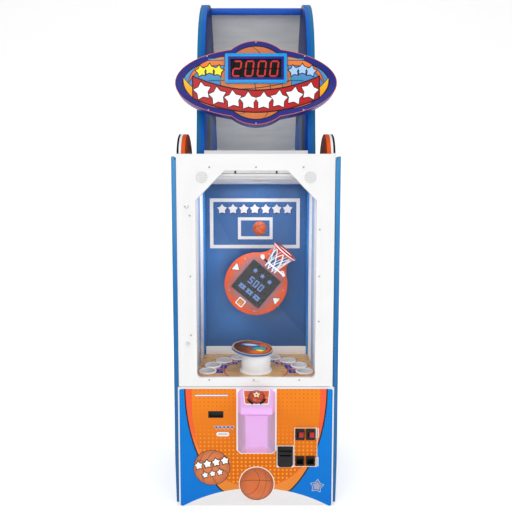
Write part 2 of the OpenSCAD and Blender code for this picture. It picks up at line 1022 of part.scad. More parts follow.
module coin_door_panel() {
    hw = coin_w / 2;
    hh = coin_h / 2;
    color(orange)
        placed()
            difference() {
                union() {
                    block([coin[0] - hw, -4, coin[1] - hh], [coin[0] + hw - 2, -1, coin[1] + hh]);
                    difference() {
                        block([coin[0] - 55, -1, coin[1] - 109], [coin[0] + 54, 12, coin[1] + 109]);
                        block([coin[0] - 53, -2, coin[1] - 107], [coin[0] + 52, 13, coin[1] + 107]);
                    }
                    translate([coin_hinge[0], coin_hinge[1], coin[1] - 59])
                        cylinder(h = 118, r = 3.5);
                    block([coin[0] + hw - 3, -3, coin[1] - 59], [coin_hinge[0], -1, coin[1] + 59]);
                }
                translate([coin_hinge[0], coin_hinge[1], coin[1] - 60])
                    cylinder(h = 120, r = 1.5 + run);
                for (dx = entry_x) {
                    block([coin[0] + dx + slot_dx - 2.6, -5, entry_z - 16],
                        [coin[0] + dx + slot_dx + 2.6, 0, entry_z + 16]);
                    block([coin[0] + dx + reject_dx - 13.5, -5, entry_z - 15.5],
                        [coin[0] + dx + reject_dx + 13.5, 0, entry_z + 15.5]);
                    block([coin[0] + dx - 20.5, -5, cup_z - 21.5], [coin[0] + dx + 20.5, 0, cup_z + 21.5]);
                }
            }
}

module coin_entries() {
    color(black)
        placed()
            for (dx = entry_x)
                translate([coin[0] + dx, 0, 0]) {
                    difference() {
                        block([-26.5, -15, entry_z - 32.5], [26.5, -4, entry_z + 32.5]);
                        block([slot_dx - 2.6, -16, entry_z - 16],
                            [slot_dx + 2.6, -3, entry_z + 16]);
                        block([reject_dx - 13.5, -16, entry_z - 15.5],
                            [reject_dx + 13.5, -3, entry_z + 15.5]);
                    }
                    difference() {
                        union() {
                            block([-26.5, -13, cup_z - 28], [26.5, -4, cup_z + 28]);
                            block([-20.5, -4, cup_z - 21.5], [20.5, 24, cup_z + 21.5]);
                        }
                        block([-19, -14, cup_z - 18], [19, 21, cup_z + 18]);
                    }
                }
}

module reject_button(dx) {
    color("#c22a2a")
        placed()
            translate([coin[0] + dx + reject_dx, 0, 0]) {
                block([-13, -19, entry_z - 15], [13, -6, entry_z + 15]);
                block([-10, -20, entry_z - 12], [10, -19, entry_z + 12]);
            }
}

module reject_button_left() {
    reject_button(entry_x[0]);
}

module reject_button_right() {
    reject_button(entry_x[1]);
}

module cash_box() {
    color(steel)
        placed()
            difference() {
                block([238, 60, 98], [352, 260, 240]);
                block([240, 62, 100], [350, 258, 241]);
            }
}

module control_box() {
    color("#7c8086")
        placed() {
            difference() {
                block([-440, 880, 98], [-150, rear_in - 4, 300]);
                block([-438, 882, 97], [-152, rear_in - 6, 298]);
            }
            difference() {
                block([inlet[0] - 25, rear_in - 4, inlet[1] - 15],
                    [inlet[0] + 25, rear_y + 2, inlet[1] + 15]);
                block([inlet[0] - 13, rear_y - 14, inlet[1] - 9],
                    [inlet[0] + 13, rear_y + 3, inlet[1] + 9]);
            }
            for (i = [-1:1])
                block([inlet[0] + i * 7 - 1, rear_y - 14, inlet[1] - 3],
                    [inlet[0] + i * 7 + 1, rear_y - 2, inlet[1] + 3]);
        }
}

// ---------- tower and marquee ----------

// Front curve of an upright, a cubic curve from the straight foot to the apex
function curve(t) = pow(1 - t, 3) * [227, 2708] + 3 * pow(1 - t, 2) * t * [262, 2940]
    + 3 * (1 - t) * t * t * [400, 3150] + pow(t, 3) * [631, tower_top];

module upright(side) {
    color("#1468b8")
        placed()
            mirror([side < 0 ? 1 : 0, 0, 0])
                along_x(310, 358)
                    polygon(concat([[146, side_h]], [for (i = [0:14]) curve(i / 14)],
                        [[665, 3186], [691, 3172], [810, 3002], [1060, 2285], [1080, side_h]]));
}

module upright_left() {
    upright(-1);
}

module upright_right() {
    upright(1);
}

module crossbar() {
    color("#1458c8")
        placed()
            rod_x(-310, 310, 622, 3158, 21.5);
}

module tower_back() {
    color("#a0a0a0")
        placed()
            along_x(-310, 310)
                polygon([[672, 3161], [678, 3164], [801, 2992], [1050, 2283], [1068, side_h],
                    [1062, side_h], [1044, 2281], [795, 2990]]);
}

module top_fins() {
    radius = 152;
    centre_d = 180;
    centre_z = side_h + 4;
    color("#e05a18")
        placed()
            for (side = [-1, 1])
                mirror([side < 0 ? 1 : 0, 0, 0])
                    intersection() {
                        rod_x(407, 456, centre_d, centre_z, radius, $fn = 128);
                        block([400, 0, side_h], [460, 700, side_h + 200]);
                    }
}

// Outline of the marquee: a wide oval joined with a round middle
module marquee_outline(grow) {
    circle(marq_r + grow, $fn = 128);
    polygon([for (i = [0:95]) [(marq_a + grow) * cos(i * 3.75), (marq_b + grow) * sin(i * 3.75)]]);
}

module marquee_box() {
    color("#2a2a86")
        placed()
            translate([0, 0, marq_z])
                difference() {
                    along_y(5, 85)
                        marquee_outline(0);
                    along_y(4, 80)
                        marquee_outline(-6);
                }
}

module marquee_face() {
    color("#f0b010")
        placed()
            translate([0, 0, marq_z])
                along_y(0, 5)
                    marquee_outline(0);
}

module score_display() {
    centre = [0, 2563];
    color("#1090d8")
        placed()
            difference() {
                along_y(-16, 0)
                    round_rect(centre, 344, 159, 8);
                block([-149, -17, centre[1] - 57], [149, -6, centre[1] + 57]);
            }
}

module marquee_brackets() {
    color("#2c2e34")
        placed()
            for (x = [-334, 334], z = [2395, 2545])
                along_x(x - 15, x + 15)
                    polygon([[85, z], [85, z + 30], [146 + (z + 30 - side_h) * 0.12939, z + 30],
                        [146 + (z - side_h) * 0.12939, z]]);
}

base_frame();
levelling_feet();
side_panel_left();
side_panel_right();
rear_panel();
rear_door();
top_deck();
hinge_pins();
lower_front_panel();
front_dome();
play_floor();
scoring_cups();
interior_walls();
back_wall();
ceiling();
upright_left();
upright_right();
crossbar();
tower_back();
top_fins();
marquee_box();
marquee_face();
score_display();
marquee_brackets();
door_frame();
door_window();
door_screws();
door_speakers();
door_lock_upper();
door_lock_lower();
console_shell();
button_plate();
button_housing();
button_spring();
play_button();
credit_display();
ticket_dispenser();
bill_validator();
coin_door_panel();
coin_entries();
reject_button_left();
reject_button_right();
cash_box();
wheel_disc();
wheel_display();
hoop_rim();
hoop_net();
sensor_bar();
wheel_shaft();
wheel_bearings();
wheel_motor();
pedestal();
deflector_plate();
deflector_motor();
game_ball();
release_pin();
feed_chute();
ball_return_tray();
ball_lift();
control_box();
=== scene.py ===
"""Looks of the basketball hoop machine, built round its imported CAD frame.

Lengths are in metres in the frame's own axes: +Z up, the front faces -Y, +X to the right.
A Board is a flat surface that prints and trims are laid on: x across it, y up it, z out of it.
"""

import json
import math
import random

import bmesh
import bpy
from mathutils import Matrix, Vector
from mathutils.geometry import tessellate_polygon


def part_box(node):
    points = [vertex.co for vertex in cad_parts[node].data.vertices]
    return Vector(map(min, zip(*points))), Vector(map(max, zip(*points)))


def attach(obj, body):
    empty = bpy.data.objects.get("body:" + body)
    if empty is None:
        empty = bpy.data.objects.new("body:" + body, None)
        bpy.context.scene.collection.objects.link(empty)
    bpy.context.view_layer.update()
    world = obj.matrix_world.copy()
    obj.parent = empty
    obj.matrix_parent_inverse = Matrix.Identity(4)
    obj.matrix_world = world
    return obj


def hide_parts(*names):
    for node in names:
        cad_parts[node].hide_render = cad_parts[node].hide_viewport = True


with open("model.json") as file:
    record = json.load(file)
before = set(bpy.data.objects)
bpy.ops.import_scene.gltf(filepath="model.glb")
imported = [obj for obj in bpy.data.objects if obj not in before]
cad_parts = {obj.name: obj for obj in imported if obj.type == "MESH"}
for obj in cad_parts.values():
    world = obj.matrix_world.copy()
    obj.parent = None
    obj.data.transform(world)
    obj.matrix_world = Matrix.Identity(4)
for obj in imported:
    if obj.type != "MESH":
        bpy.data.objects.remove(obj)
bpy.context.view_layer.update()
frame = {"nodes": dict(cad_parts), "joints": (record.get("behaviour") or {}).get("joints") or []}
random.seed(7)
MM = 0.001
LAYER = 0.25 * MM          # how far each print stands above the one below it

# ---------------------------------------------------------------- materials


def sum_of(operation):
    """A Paint method that works out one sum in the shader."""
    return lambda self, a, b=0.0, clamp=False: self.calc(operation, a, b, clamp)


class Paint:
    """A node material. Its calls add nodes and return their output sockets."""

    def __init__(self, name):
        self.mat = bpy.data.materials.new(name)
        self.mat.use_nodes = True
        self.tree = self.mat.node_tree
        self.bsdf = self.tree.nodes["Principled BSDF"]
        self.place = self.add("ShaderNodeTexCoord").outputs["Object"]

    def add(self, kind, inputs=None, **settings):
        node = self.tree.nodes.new(kind)
        for key, value in settings.items():
            setattr(node, key, value)
        for key, value in (inputs or {}).items():
            self.feed(node.inputs[key], value)
        return node

    def feed(self, socket, value):
        if isinstance(value, bpy.types.NodeSocket):
            self.tree.links.new(value, socket)
        elif isinstance(value, tuple) and len(value) == 3 and socket.type == "RGBA":
            socket.default_value = (*value, 1)
        else:
            socket.default_value = value

    def set(self, **sockets):
        for key, value in sockets.items():
            self.feed(self.bsdf.inputs[key.replace("_", " ")], value)

    def calc(self, operation, a, b=0.0, clamp=False):
        return self.add("ShaderNodeMath", {0: a, 1: b}, operation=operation, use_clamp=clamp).outputs[0]

    # part is a number's fractional part, size its absolute value, past whether a is beyond b
    plus, less, times, over = map(sum_of, ("ADD", "SUBTRACT", "MULTIPLY", "DIVIDE"))
    size, past, least, root = map(sum_of, ("ABSOLUTE", "GREATER_THAN", "MINIMUM", "SQRT"))
    floor, part = map(sum_of, ("FLOOR", "FRACT"))

    def length(self, a, b):
        """The length of a flat vector from its two parts."""
        return self.root(self.plus(self.times(a, a), self.times(b, b)))

    def away(self, point):
        """The vector from a point to the place on the surface."""
        return self.add("ShaderNodeVectorMath", {0: self.place, 1: point}, operation="SUBTRACT").outputs[0]

    def dot(self, vector, direction):
        inputs = {0: vector, 1: direction}
        return self.add("ShaderNodeVectorMath", inputs, operation="DOT_PRODUCT").outputs["Value"]

    def axes(self, where=None):
        return self.add("ShaderNodeSeparateXYZ", {0: where or self.place}).outputs

    def stretched(self, x, y, z):
        """The place on the surface with each axis scaled."""
        return self.add("ShaderNodeMapping", {"Vector": self.place, "Scale": (x, y, z)}).outputs[0]

    def noise(self, scale, detail=3.0, where=None, rough=0.55):
        inputs = {"Vector": where or self.place, "Scale": scale, "Detail": detail, "Roughness": rough}
        return self.add("ShaderNodeTexNoise", inputs).outputs["Fac"]

    def cells(self, scale):
        return self.add("ShaderNodeTexVoronoi", {"Vector": self.place, "Scale": scale}).outputs["Distance"]

    def span(self, value, low, high, to_low=0.0, to_high=1.0, smooth=True):
        inputs = {"Value": value, "From Min": low, "From Max": high, "To Min": to_low, "To Max": to_high}
        kind = "SMOOTHSTEP" if smooth else "LINEAR"
        return self.add("ShaderNodeMapRange", inputs, interpolation_type=kind).outputs[0]

    def blend(self, share, a, b, kind="MIX"):
        inputs = {"Factor": share, "A": a, "B": b}
        return self.add("ShaderNodeMix", inputs, data_type="RGBA", blend_type=kind).outputs["Result"]

    def shades(self, share, stops):
        node = self.add("ShaderNodeValToRGB", {0: share})
        ramp = node.color_ramp
        while len(ramp.elements) < len(stops):
            ramp.elements.new(0.5)
        for element, (at, colour) in zip(ramp.elements, stops):
            element.position = at
            element.color = (*colour, 1)
        return node.outputs[0]

    def bump(self, height, depth, strength=1.0, below=None):
        inputs = {"Strength": strength, "Distance": depth, "Height": height}
        if below:
            inputs["Normal"] = below
        return self.add("ShaderNodeBump", inputs).outputs[0]

    def finish(self, colour, rough, mottle=0.06, grain=900, grain_depth=0.00002, rough_play=0.08, **sockets):
        """The common surface: a colour with faint clouding, uneven gloss and a fine grain."""
        cloud = self.noise(7, 4)
        fine = self.noise(140, 3)
        shade = self.span(cloud, 0.3, 0.7, 1 - mottle, 1 + mottle, smooth=False)
        grey = self.add("ShaderNodeCombineColor", {0: shade, 1: shade, 2: shade}).outputs[0]
        self.set(Base_Color=self.blend(1, colour, grey, "MULTIPLY"))
        self.set(Roughness=self.span(fine, 0.25, 0.75, max(rough - rough_play, 0.02), rough + rough_play))
        self.set(Normal=self.bump(self.noise(grain, 2), grain_depth))
        self.set(**{"Specular_IOR_Level": 0.3, **sockets})
        return self.mat


def rgb(red, green, blue):
    """A colour in shader units from the 0-255 numbers that a colour card gives."""
    shares = [c / 255 for c in (red, green, blue)]
    return tuple(c / 12.92 if c < 0.0405 else ((c + 0.055) / 1.055) ** 2.4 for c in shares)


def plain(name, colour, rough=0.4, **more):
    return Paint(name).finish(colour, rough, **more)


def dotted(name, ground, dot, pitch, sizes):
    """A half-tone print: rows of dots on the front plane, their radius and colour changing with height."""
    paint = Paint(name)
    x, _, z = paint.axes()
    u, v = (paint.less(paint.part(paint.plus(paint.over(axis, pitch), 40)), 0.5) for axis in (x, z))
    low, high, small, large = sizes
    radius = paint.span(z, low, high, small, large)
    inside = paint.span(paint.less(radius, paint.length(u, v)), -0.03, 0.03)
    share = paint.span(z, low, high, smooth=False)
    ground_now = paint.blend(share, *ground)
    dot_now = paint.blend(share, *dot)
    return paint.finish(paint.blend(inside, ground_now, dot_now), 0.32, mottle=0.03, Specular_IOR_Level=0.12)


def brushed(name, colour, along, rough=0.3):
    """Drawn or brushed metal, streaked along one axis."""
    paint = Paint(name)
    stretch = [260, 260, 260]
    stretch["xyz".index(along)] = 6
    streak = paint.noise(1, 4, where=paint.stretched(*stretch))
    tone = paint.shades(streak, [(0.3, tuple(c * 0.8 for c in colour)), (0.7, colour)])
    paint.set(Base_Color=tone, Metallic=1.0)
    paint.set(Roughness=paint.span(streak, 0.3, 0.7, rough - 0.08, rough + 0.12))
    paint.set(Normal=paint.bump(streak, 0.00003, 0.6))
    return paint.mat


def glowing(name, colour, strength):
    """A lit surface whose strength wavers a little."""
    paint = Paint(name)
    flicker = paint.span(paint.noise(60, 2), 0.2, 0.8, strength * 0.85, strength)
    paint.set(Base_Color=tuple(c * 0.3 for c in colour), Emission_Color=colour, Roughness=0.4)
    paint.set(Emission_Strength=flicker)
    return paint.mat


def seam_lines(paint, direction, turn, width):
    """A mask of a basketball's seams on a unit direction: two great circles and one loop each side."""
    inputs = {"Vector": direction, "Rotation": [math.radians(a) for a in turn]}
    x, _, z = paint.axes(paint.add("ShaderNodeVectorRotate", inputs, rotation_type="EULER_XYZ").outputs[0])
    wide = paint.size(x)
    bow = paint.plus(0.42, paint.times(0.35, paint.times(z, z)))
    loop = paint.size(paint.less(wide, bow))
    near = paint.least(paint.least(wide, paint.size(z)), loop)
    return paint.span(near, width * 0.6, width, 1, 0)


def ball_skin(name, direction_of, skin, seam, turn, width, pebble=420, depth=0.0002, rough=0.5, shade=0.0,
              collar=None):
    """A basketball's surface, real or printed. direction_of gives the direction from the ball's centre."""
    paint = Paint(name)
    direction, rim = direction_of(paint)
    lines = seam_lines(paint, direction, turn, width)
    cloud = paint.noise(26, 4)
    body = paint.shades(cloud, [(0.3, tuple(c * 0.84 for c in skin)), (0.7, skin)])
    # shade darkens the disc towards its rim: drawn shading that is part of the print on the printed balls,
    # painted shade on the moulded dome and play button
    if shade:
        body = paint.blend(paint.span(rim, 0.25, 1.0, 0, shade), body, tuple(c * 0.35 for c in skin))
    pebbles = paint.cells(pebble)
    # each pebble is lighter at its top: a painted highlight
    body = paint.blend(paint.span(pebbles, 0.1, 0.6, 0.22, 0), body, tuple(min(c * 1.5, 1) for c in skin))
    colour = paint.blend(lines, body, seam)
    if collar:
        colour = paint.blend(paint.span(rim, 0.94, 0.97), colour, rgb(150, 62, 22))
        colour = paint.blend(paint.past(rim, 1.02), colour, collar)
    paint.set(Base_Color=colour)
    paint.set(Roughness=paint.span(cloud, 0.3, 0.7, rough - 0.06, rough + 0.08))
    raised = paint.times(paint.less(1.0, pebbles), paint.less(1.0, lines))
    paint.set(Normal=paint.bump(raised, depth), Coat_Weight=0.15, Coat_Roughness=0.3)
    return paint.mat


def about_point(centre):
    """Direction from a ball's centre, for a whole ball."""
    def direction_of(paint):
        unit = paint.add("ShaderNodeVectorMath", {0: paint.away(centre)}, operation="NORMALIZE")
        return unit.outputs[0], None
    return direction_of


def on_disc(board, r, at=(0, 0)):
    """Direction on the near half of a ball that is drawn or moulded as a disc of radius r on a board."""
    def direction_of(paint):
        away = paint.away(board.at(*at))
        parts = [paint.dot(away, axis / (r * MM)) for axis in (board.x, board.y)]
        squares = [paint.times(p, p) for p in parts]
        rim = paint.plus(*squares)
        height = paint.root(paint.calc("MAXIMUM", paint.less(1.0, rim), 0.0))
        join = paint.add("ShaderNodeCombineXYZ", {0: parts[0], 1: paint.times(height, -1.0), 2: parts[1]})
        return join.outputs[0], rim
    return direction_of


def floor_boards(name):
    """Maple court boards that run across the play floor."""
    paint = Paint(name)
    across = paint.over(paint.axes()[1], 34 * MM)
    board = paint.floor(across)
    tone = paint.add("ShaderNodeTexWhiteNoise", {"W": board}, noise_dimensions="1D").outputs["Value"]
    grain = paint.noise(1, 6, where=paint.stretched(9, 160, 9), rough=0.65)
    figure = paint.noise(1, 3, where=paint.stretched(3, 40, 3))
    maple = [(0.28, rgb(158, 102, 40)), (0.5, rgb(214, 160, 80)), (0.75, rgb(242, 202, 124))]
    wood = paint.shades(grain, maple)
    wood = paint.blend(paint.span(figure, 0.35, 0.65, 0, 0.35), wood, rgb(190, 134, 62))
    wood = paint.blend(paint.span(tone, 0, 1, 0, 0.3), wood, rgb(232, 196, 144))
    seam = paint.span(paint.size(paint.less(paint.part(across), 0.5)), 0.485, 0.5)
    paint.set(Base_Color=paint.blend(seam, wood, rgb(96, 62, 30)))
    paint.set(Roughness=paint.span(grain, 0.3, 0.7, 0.22, 0.36), Coat_Weight=0.3, Coat_Roughness=0.15)
    paint.set(Normal=paint.bump(seam, -0.0002, 0.5, below=paint.bump(grain, 0.00004)))
    return paint.mat


def wall_with_painted_light(name, deep, bright, pools):
    """A printed wall with faint specks and soft pools of painted light, each at x, z with its reach and
    strength.
    """
    paint = Paint(name)
    x, _, z = paint.axes()
    # the sum of the pools of painted light
    light = 0.0
    for cx, cz, reach, gain in pools:
        far = paint.length(paint.less(x, cx), paint.less(z, cz))
        light = paint.plus(light, paint.span(far, 0, reach, gain, 0))
    cloud = paint.span(paint.noise(5, 4), 0.3, 0.7, -0.12, 0.12)
    colour = paint.blend(paint.plus(light, cloud, clamp=True), deep, bright)
    speck = paint.span(paint.cells(60), 0.05, 0.12, 0.35, 0)
    return paint.finish(paint.blend(speck, colour, tuple(c * 0.45 for c in deep)), 0.3, mottle=0.03)


def fading(name, axis, stops, low, high, rough=0.35, **more):
    """A paint whose colour runs through stops along one axis, from low to high."""
    paint = Paint(name)
    at = paint.span(paint.axes()["xyz".index(axis)], low, high, smooth=False)
    return paint.finish(paint.shades(at, stops), rough, **more)


def banded(name, colours, edges, rough=0.3, **more):
    """Paint in upright bands by distance from the machine's middle plane. The edges are in millimetres."""
    paint = Paint(name)
    wide = paint.size(paint.axes()[0])
    colour = colours[0]
    for edge, following in zip(edges, colours[1:]):
        colour = paint.blend(paint.past(wide, edge * MM), colour, following)
    return paint.finish(colour, rough, **more)


# ---------------------------------------------------------------- shapes


class Board:
    """A flat surface to lay things on. Outlines laid on it are in millimetres."""

    def __init__(self, origin, across, out, body):
        self.origin = Vector(origin)
        self.z = Vector(out).normalized()
        self.x = Vector(across).normalized()
        self.y = self.z.cross(self.x)
        self.body = body

    def at(self, x, y, z=0.0):
        return self.origin + (self.x * x + self.y * y + self.z * z) * MM


def facing_front(y, z=0.0, body="cabinet"):
    """An upright board on the middle plane that faces the player."""
    return Board((0, y, z), (1, 0, 0), (0, -1, 0), body)


def make(name, bm, material, body, smooth=False, replaces=()):
    """Turns a bmesh into a piece that rides on a body."""
    bmesh.ops.recalc_face_normals(bm, faces=bm.faces)
    mesh = bpy.data.meshes.new(name)
    bm.to_mesh(mesh)
    bm.free()
    obj = bpy.data.objects.new(name, mesh)
    bpy.context.scene.collection.objects.link(obj)
    mesh.materials.append(material)
    if smooth:
        mesh.shade_smooth()
        mesh.set_sharp_from_angle(angle=math.radians(38))
    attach(obj, body)
    if replaces:
        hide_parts(*replaces)
    return obj


def plate(name, board, shapes, low, high, material, edge=0.0):
    """Flat plates on a board from height low to high. Each shape is an outline followed by its holes."""
    bm = bmesh.new()
    for rings in shapes:
        points = [p for ring in rings for p in ring]
        flat = [[Vector((*p, 0)) for p in ring] for ring in rings]
        levels = [[bm.verts.new(board.at(*p, z / MM)) for p in points] for z in (low, high)]
        for corners in tessellate_polygon(flat):
            for level in levels:
                bm.faces.new([level[i] for i in corners])
        first = 0
        for ring in rings:
            count = len(ring)
            for i in range(count):
                a, b = first + i, first + (i + 1) % count
                bm.faces.new((levels[0][a], levels[0][b], levels[1][b], levels[1][a]))
            first += count
    obj = make(name, bm, material, board.body)
    if edge:
        soften(obj, edge)
    return obj


def sheet(name, board, shapes, level, material):
    """A thin print on a board. Its level says how many other prints lie under it."""
    return plate(name, board, shapes, level * LAYER, (level + 1) * LAYER, material)


def soften(obj, width):
    """Rounds the sharp edges of a finished mesh, as paint and moulding do."""
    weld = obj.modifiers.new("weld", "WELD")
    weld.merge_threshold = 0.00002
    bevel = obj.modifiers.new("soft_edges", "BEVEL")
    bevel.width = width
    bevel.segments = 2
    bevel.limit_method = "ANGLE"
    bevel.angle_limit = math.radians(32)
    bevel.harden_normals = True
    obj.data.shade_smooth()


def circle(r, at=(0, 0), n=72, start=0.0, stop=360.0):
    """A circle, or an arc of n steps between two angles in degrees."""
    whole = abs(stop - start) >= 360
    steps = n if whole else n + 1
    turn = [math.radians(start + (stop - start) * i / n) for i in range(steps)]
    return [(at[0] + r * math.cos(t), at[1] + r * math.sin(t)) for t in turn]


def oval(a, b, at=(0, 0), n=120):
    return [(at[0] + a * x, at[1] + b * y) for x, y in circle(1, n=n)]


def rounded(w, h, r, at=(0, 0), n=6):
    """A rectangle with round corners."""
    ring = []
    for cx, cy, start in ((1, 1, 0), (-1, 1, 90), (-1, -1, 180), (1, -1, 270)):
        centre = (at[0] + cx * (w / 2 - r), at[1] + cy * (h / 2 - r))
        ring += circle(r, centre, n, start, start + 90)
    return ring


def star(r, at=(0, 0), turn=0.0, waist=0.52):
    """A five-pointed star. The waist is its inner radius as a share of r."""
    ring = []
    for i in range(10):
        t = math.radians(90 + turn + 36 * i)
        reach = r if i % 2 == 0 else r * waist
        ring.append((at[0] + reach * math.cos(t), at[1] + reach * math.sin(t)))
    return ring


def grown(ring, by):
    """An anticlockwise outline moved outwards by a distance, or inwards if it is negative."""
    out = []
    ring = [p for i, p in enumerate(ring) if math.dist(p, ring[i - 1]) > 0.01]
    count = len(ring)
    for i, (x, y) in enumerate(ring):
        ax, ay = x - ring[i - 1][0], y - ring[i - 1][1]
        bx, by_ = ring[(i + 1) % count][0] - x, ring[(i + 1) % count][1] - y
        la, lb = math.hypot(ax, ay), math.hypot(bx, by_)
        nx, ny = ay / la + by_ / lb, -ax / la - bx / lb
        square = max(nx * nx + ny * ny, 0.9)
        out.append((x + 2 * by * nx / square, y + 2 * by * ny / square))
    return out


def bend(a, b, c, d):
    """Points on a cubic curve from a to d."""
    out = []
    for i in range(25):
        t = i / 24
        w = ((1 - t) ** 3, 3 * t * (1 - t) ** 2, 3 * t * t * (1 - t), t ** 3)
        out.append(tuple(sum(k * p[j] for k, p in zip(w, (a, b, c, d))) for j in (0, 1)))
    return out


def mirrored(ring):
    return [(-x, y) for x, y in ring][::-1]


def turned(ring, angle):
    """The outline turned anticlockwise about the middle, in degrees."""
    c, s = math.cos(math.radians(angle)), math.sin(math.radians(angle))
    return [(c * x - s * y, s * x + c * y) for x, y in ring]


# the lit segments of the digits on the marquee
SEGMENTS = {"0": "abcdef", "2": "abdeg"}


def seven(digit, w, h, thick, at, slant=0.09):
    """Lit and unlit segments of one seven-segment digit, each a list of outlines."""
    mid = h / 2
    ends = {"a": ((0, h), (w, h)), "b": ((w, h), (w, mid)), "c": ((w, mid), (w, 0)), "d": ((0, 0), (w, 0)),
            "e": ((0, mid), (0, 0)), "f": ((0, h), (0, mid)), "g": ((0, mid), (w, mid))}
    lit, unlit = [], []
    for key, ((ax, ay), (bx, by)) in ends.items():
        long = math.hypot(bx - ax, by - ay)
        ux, uy = (bx - ax) / long, (by - ay) / long
        half = thick / 2
        gap = thick * 0.12
        ring = []
        for along, side in ((gap, 0), (gap + half, -half), (long - gap - half, -half), (long - gap, 0),
                            (long - gap - half, half), (gap + half, half)):
            x, y = ax + ux * along - uy * side, ay + uy * along + ux * side
            ring.append((at[0] + x + slant * y, at[1] + y))
        (lit if key in SEGMENTS[digit] else unlit).append([ring])
    return lit, unlit


# The five rows of each digit, with one bit for each of its three columns
ROWS = {"0": "75557", "1": "26227", "2": "71747", "5": "74717", "6": "74757", "8": "75757"}


def blocks(text, pixel, at=(0, 0), fill=1.0):
    """Digits drawn in square pixels, three wide and five high, centred on a point."""
    wide = (4 * len(text) - 1) * pixel
    shapes = []
    for k, character in enumerate(text):
        for row, bits in enumerate(ROWS[character]):
            for column in range(3):
                if int(bits) >> (2 - column) & 1:
                    cx = at[0] - wide / 2 + (4 * k + column + 0.5) * pixel
                    cy = at[1] + (2 - row) * pixel
                    shapes.append([rounded(pixel * fill, pixel * fill, pixel * 0.02, (cx, cy), 1)])
    return shapes


def lathe(profile, board, centre=(0, 0), n=64):
    """A bmesh turned round the board's own z axis. The profile lists (radius, height) in millimetres."""
    bm = bmesh.new()
    rings = []
    for r, z in profile:
        if r == 0:
            rings.append([bm.verts.new(board.at(*centre, z))])
        else:
            rings.append([bm.verts.new(board.at(*p, z)) for p in circle(r, centre, n)])
    for low, high in zip(rings, rings[1:]):
        for i in range(n):
            j = (i + 1) % n
            face = [low[i % len(low)], low[j % len(low)], high[j % len(high)], high[i % len(high)]]
            unique = [v for k, v in enumerate(face) if v not in face[:k]]
            if len(unique) > 2:
                bm.faces.new(unique)
    return bm


def tube(bm, points, radius, sides=6):
    """Adds a round tube through points to a bmesh. Points and radius are in metres."""
    rings = []
    up = Vector((0.3, 0.9, 0.31)).normalized()
    for i, p in enumerate(points):
        ahead = (points[min(i + 1, len(points) - 1)] - points[max(i - 1, 0)]).normalized()
        side = ahead.cross(up)
        side = side.normalized() if side.length > 0.1 else ahead.orthogonal().normalized()
        up = side.cross(ahead).normalized()
        angles = [2 * math.pi * k / sides for k in range(sides)]
        rings.append([bm.verts.new(p + radius * (math.cos(t) * side + math.sin(t) * up)) for t in angles])
    for low, high in zip(rings, rings[1:]):
        for k in range(sides):
            m = (k + 1) % sides
            bm.faces.new((low[k], low[m], high[m], high[k]))
    bm.faces.new(rings[0][::-1])
    bm.faces.new(rings[-1])


def knob(bm, centre, radius, steps=2):
    """Adds a small ball to a bmesh."""
    bmesh.ops.create_icosphere(bm, subdivisions=steps, radius=radius, matrix=Matrix.Translation(centre))


def cut(obj, board, holes):
    """Cuts openings out of a plate on a board with an exact boolean."""
    cutter = plate("cutter", board, holes, -4 * MM, 4 * MM, obj.data.materials[0])
    boolean = obj.modifiers.new("openings", "BOOLEAN")
    boolean.operation = "DIFFERENCE"
    boolean.solver = "EXACT"
    boolean.object = cutter
    bpy.context.view_layer.update()
    done = bpy.data.meshes.new_from_object(obj.evaluated_get(bpy.context.evaluated_depsgraph_get()))
    obj.modifiers.clear()
    obj.data = done
    bpy.data.objects.remove(cutter)


# ---------------------------------------------------------------- camera, stage and light


def joint(name):
    return next(j for j in frame["joints"] if j["name"] == name)


scene = bpy.context.scene
scene.view_settings.view_transform = "Standard"

camera = bpy.data.objects.new("camera", bpy.data.cameras.new("camera"))
camera.location = (0, -3.040, 1.705)
camera.rotation_euler = (math.radians(85.72), 0, 0)
camera.data.lens = 31.0
camera.data.sensor_width = 36.0
scene.collection.objects.link(camera)
scene.camera = camera


def area_light(name, place, target, size, power, colour=(1, 1, 1)):
    """A soft rectangular lamp that the camera itself doesn't see."""
    lamp = bpy.data.lights.new(name, "AREA")
    lamp.shape = "RECTANGLE"
    lamp.size, lamp.size_y = size
    lamp.energy = power
    lamp.color = colour
    obj = bpy.data.objects.new(name, lamp)
    obj.location = place
    obj.rotation_euler = (Vector(target) - Vector(place)).to_track_quat("-Z", "Y").to_euler()
    obj.visible_camera = False
    scene.collection.objects.link(obj)


area_light("key_light", (-1.6, -4.6, 3.6), (0, 0, 1.5), (3.4, 3.0), 72)
area_light("fill_light", (2.8, -4.0, 2.2), (0, 0, 1.3), (3.0, 3.0), 42)
area_light("top_light", (0, -0.6, 5.4), (0, 0, 1.5), (3.5, 3.5), 30)
area_light("back_light", (0, 4.2, 3.6), (0, 0, 1.6), (4.0, 3.0), 60)
area_light("tower_lamp", (0, -0.30, 2.42), (0, 0.5, 2.36), (0.5, 0.4), 2.4)
area_light("cabinet_front_lamp", (0, -0.462, 1.34), (0, 0.1, 1.26), (0.62, 0.9), 2.1)
area_light("cabinet_top_lamp", (0, -0.22, 1.955), (0, -0.2, 0.8), (0.60, 0.30), 1.7, (1.0, 0.98, 0.95))

world = bpy.data.worlds.new("studio")
scene.world = world
world.use_nodes = True
world.node_tree.nodes["Background"].inputs["Color"].default_value = (1.0, 1.0, 1.0, 1)
world.node_tree.nodes["Background"].inputs["Strength"].default_value = 0.5


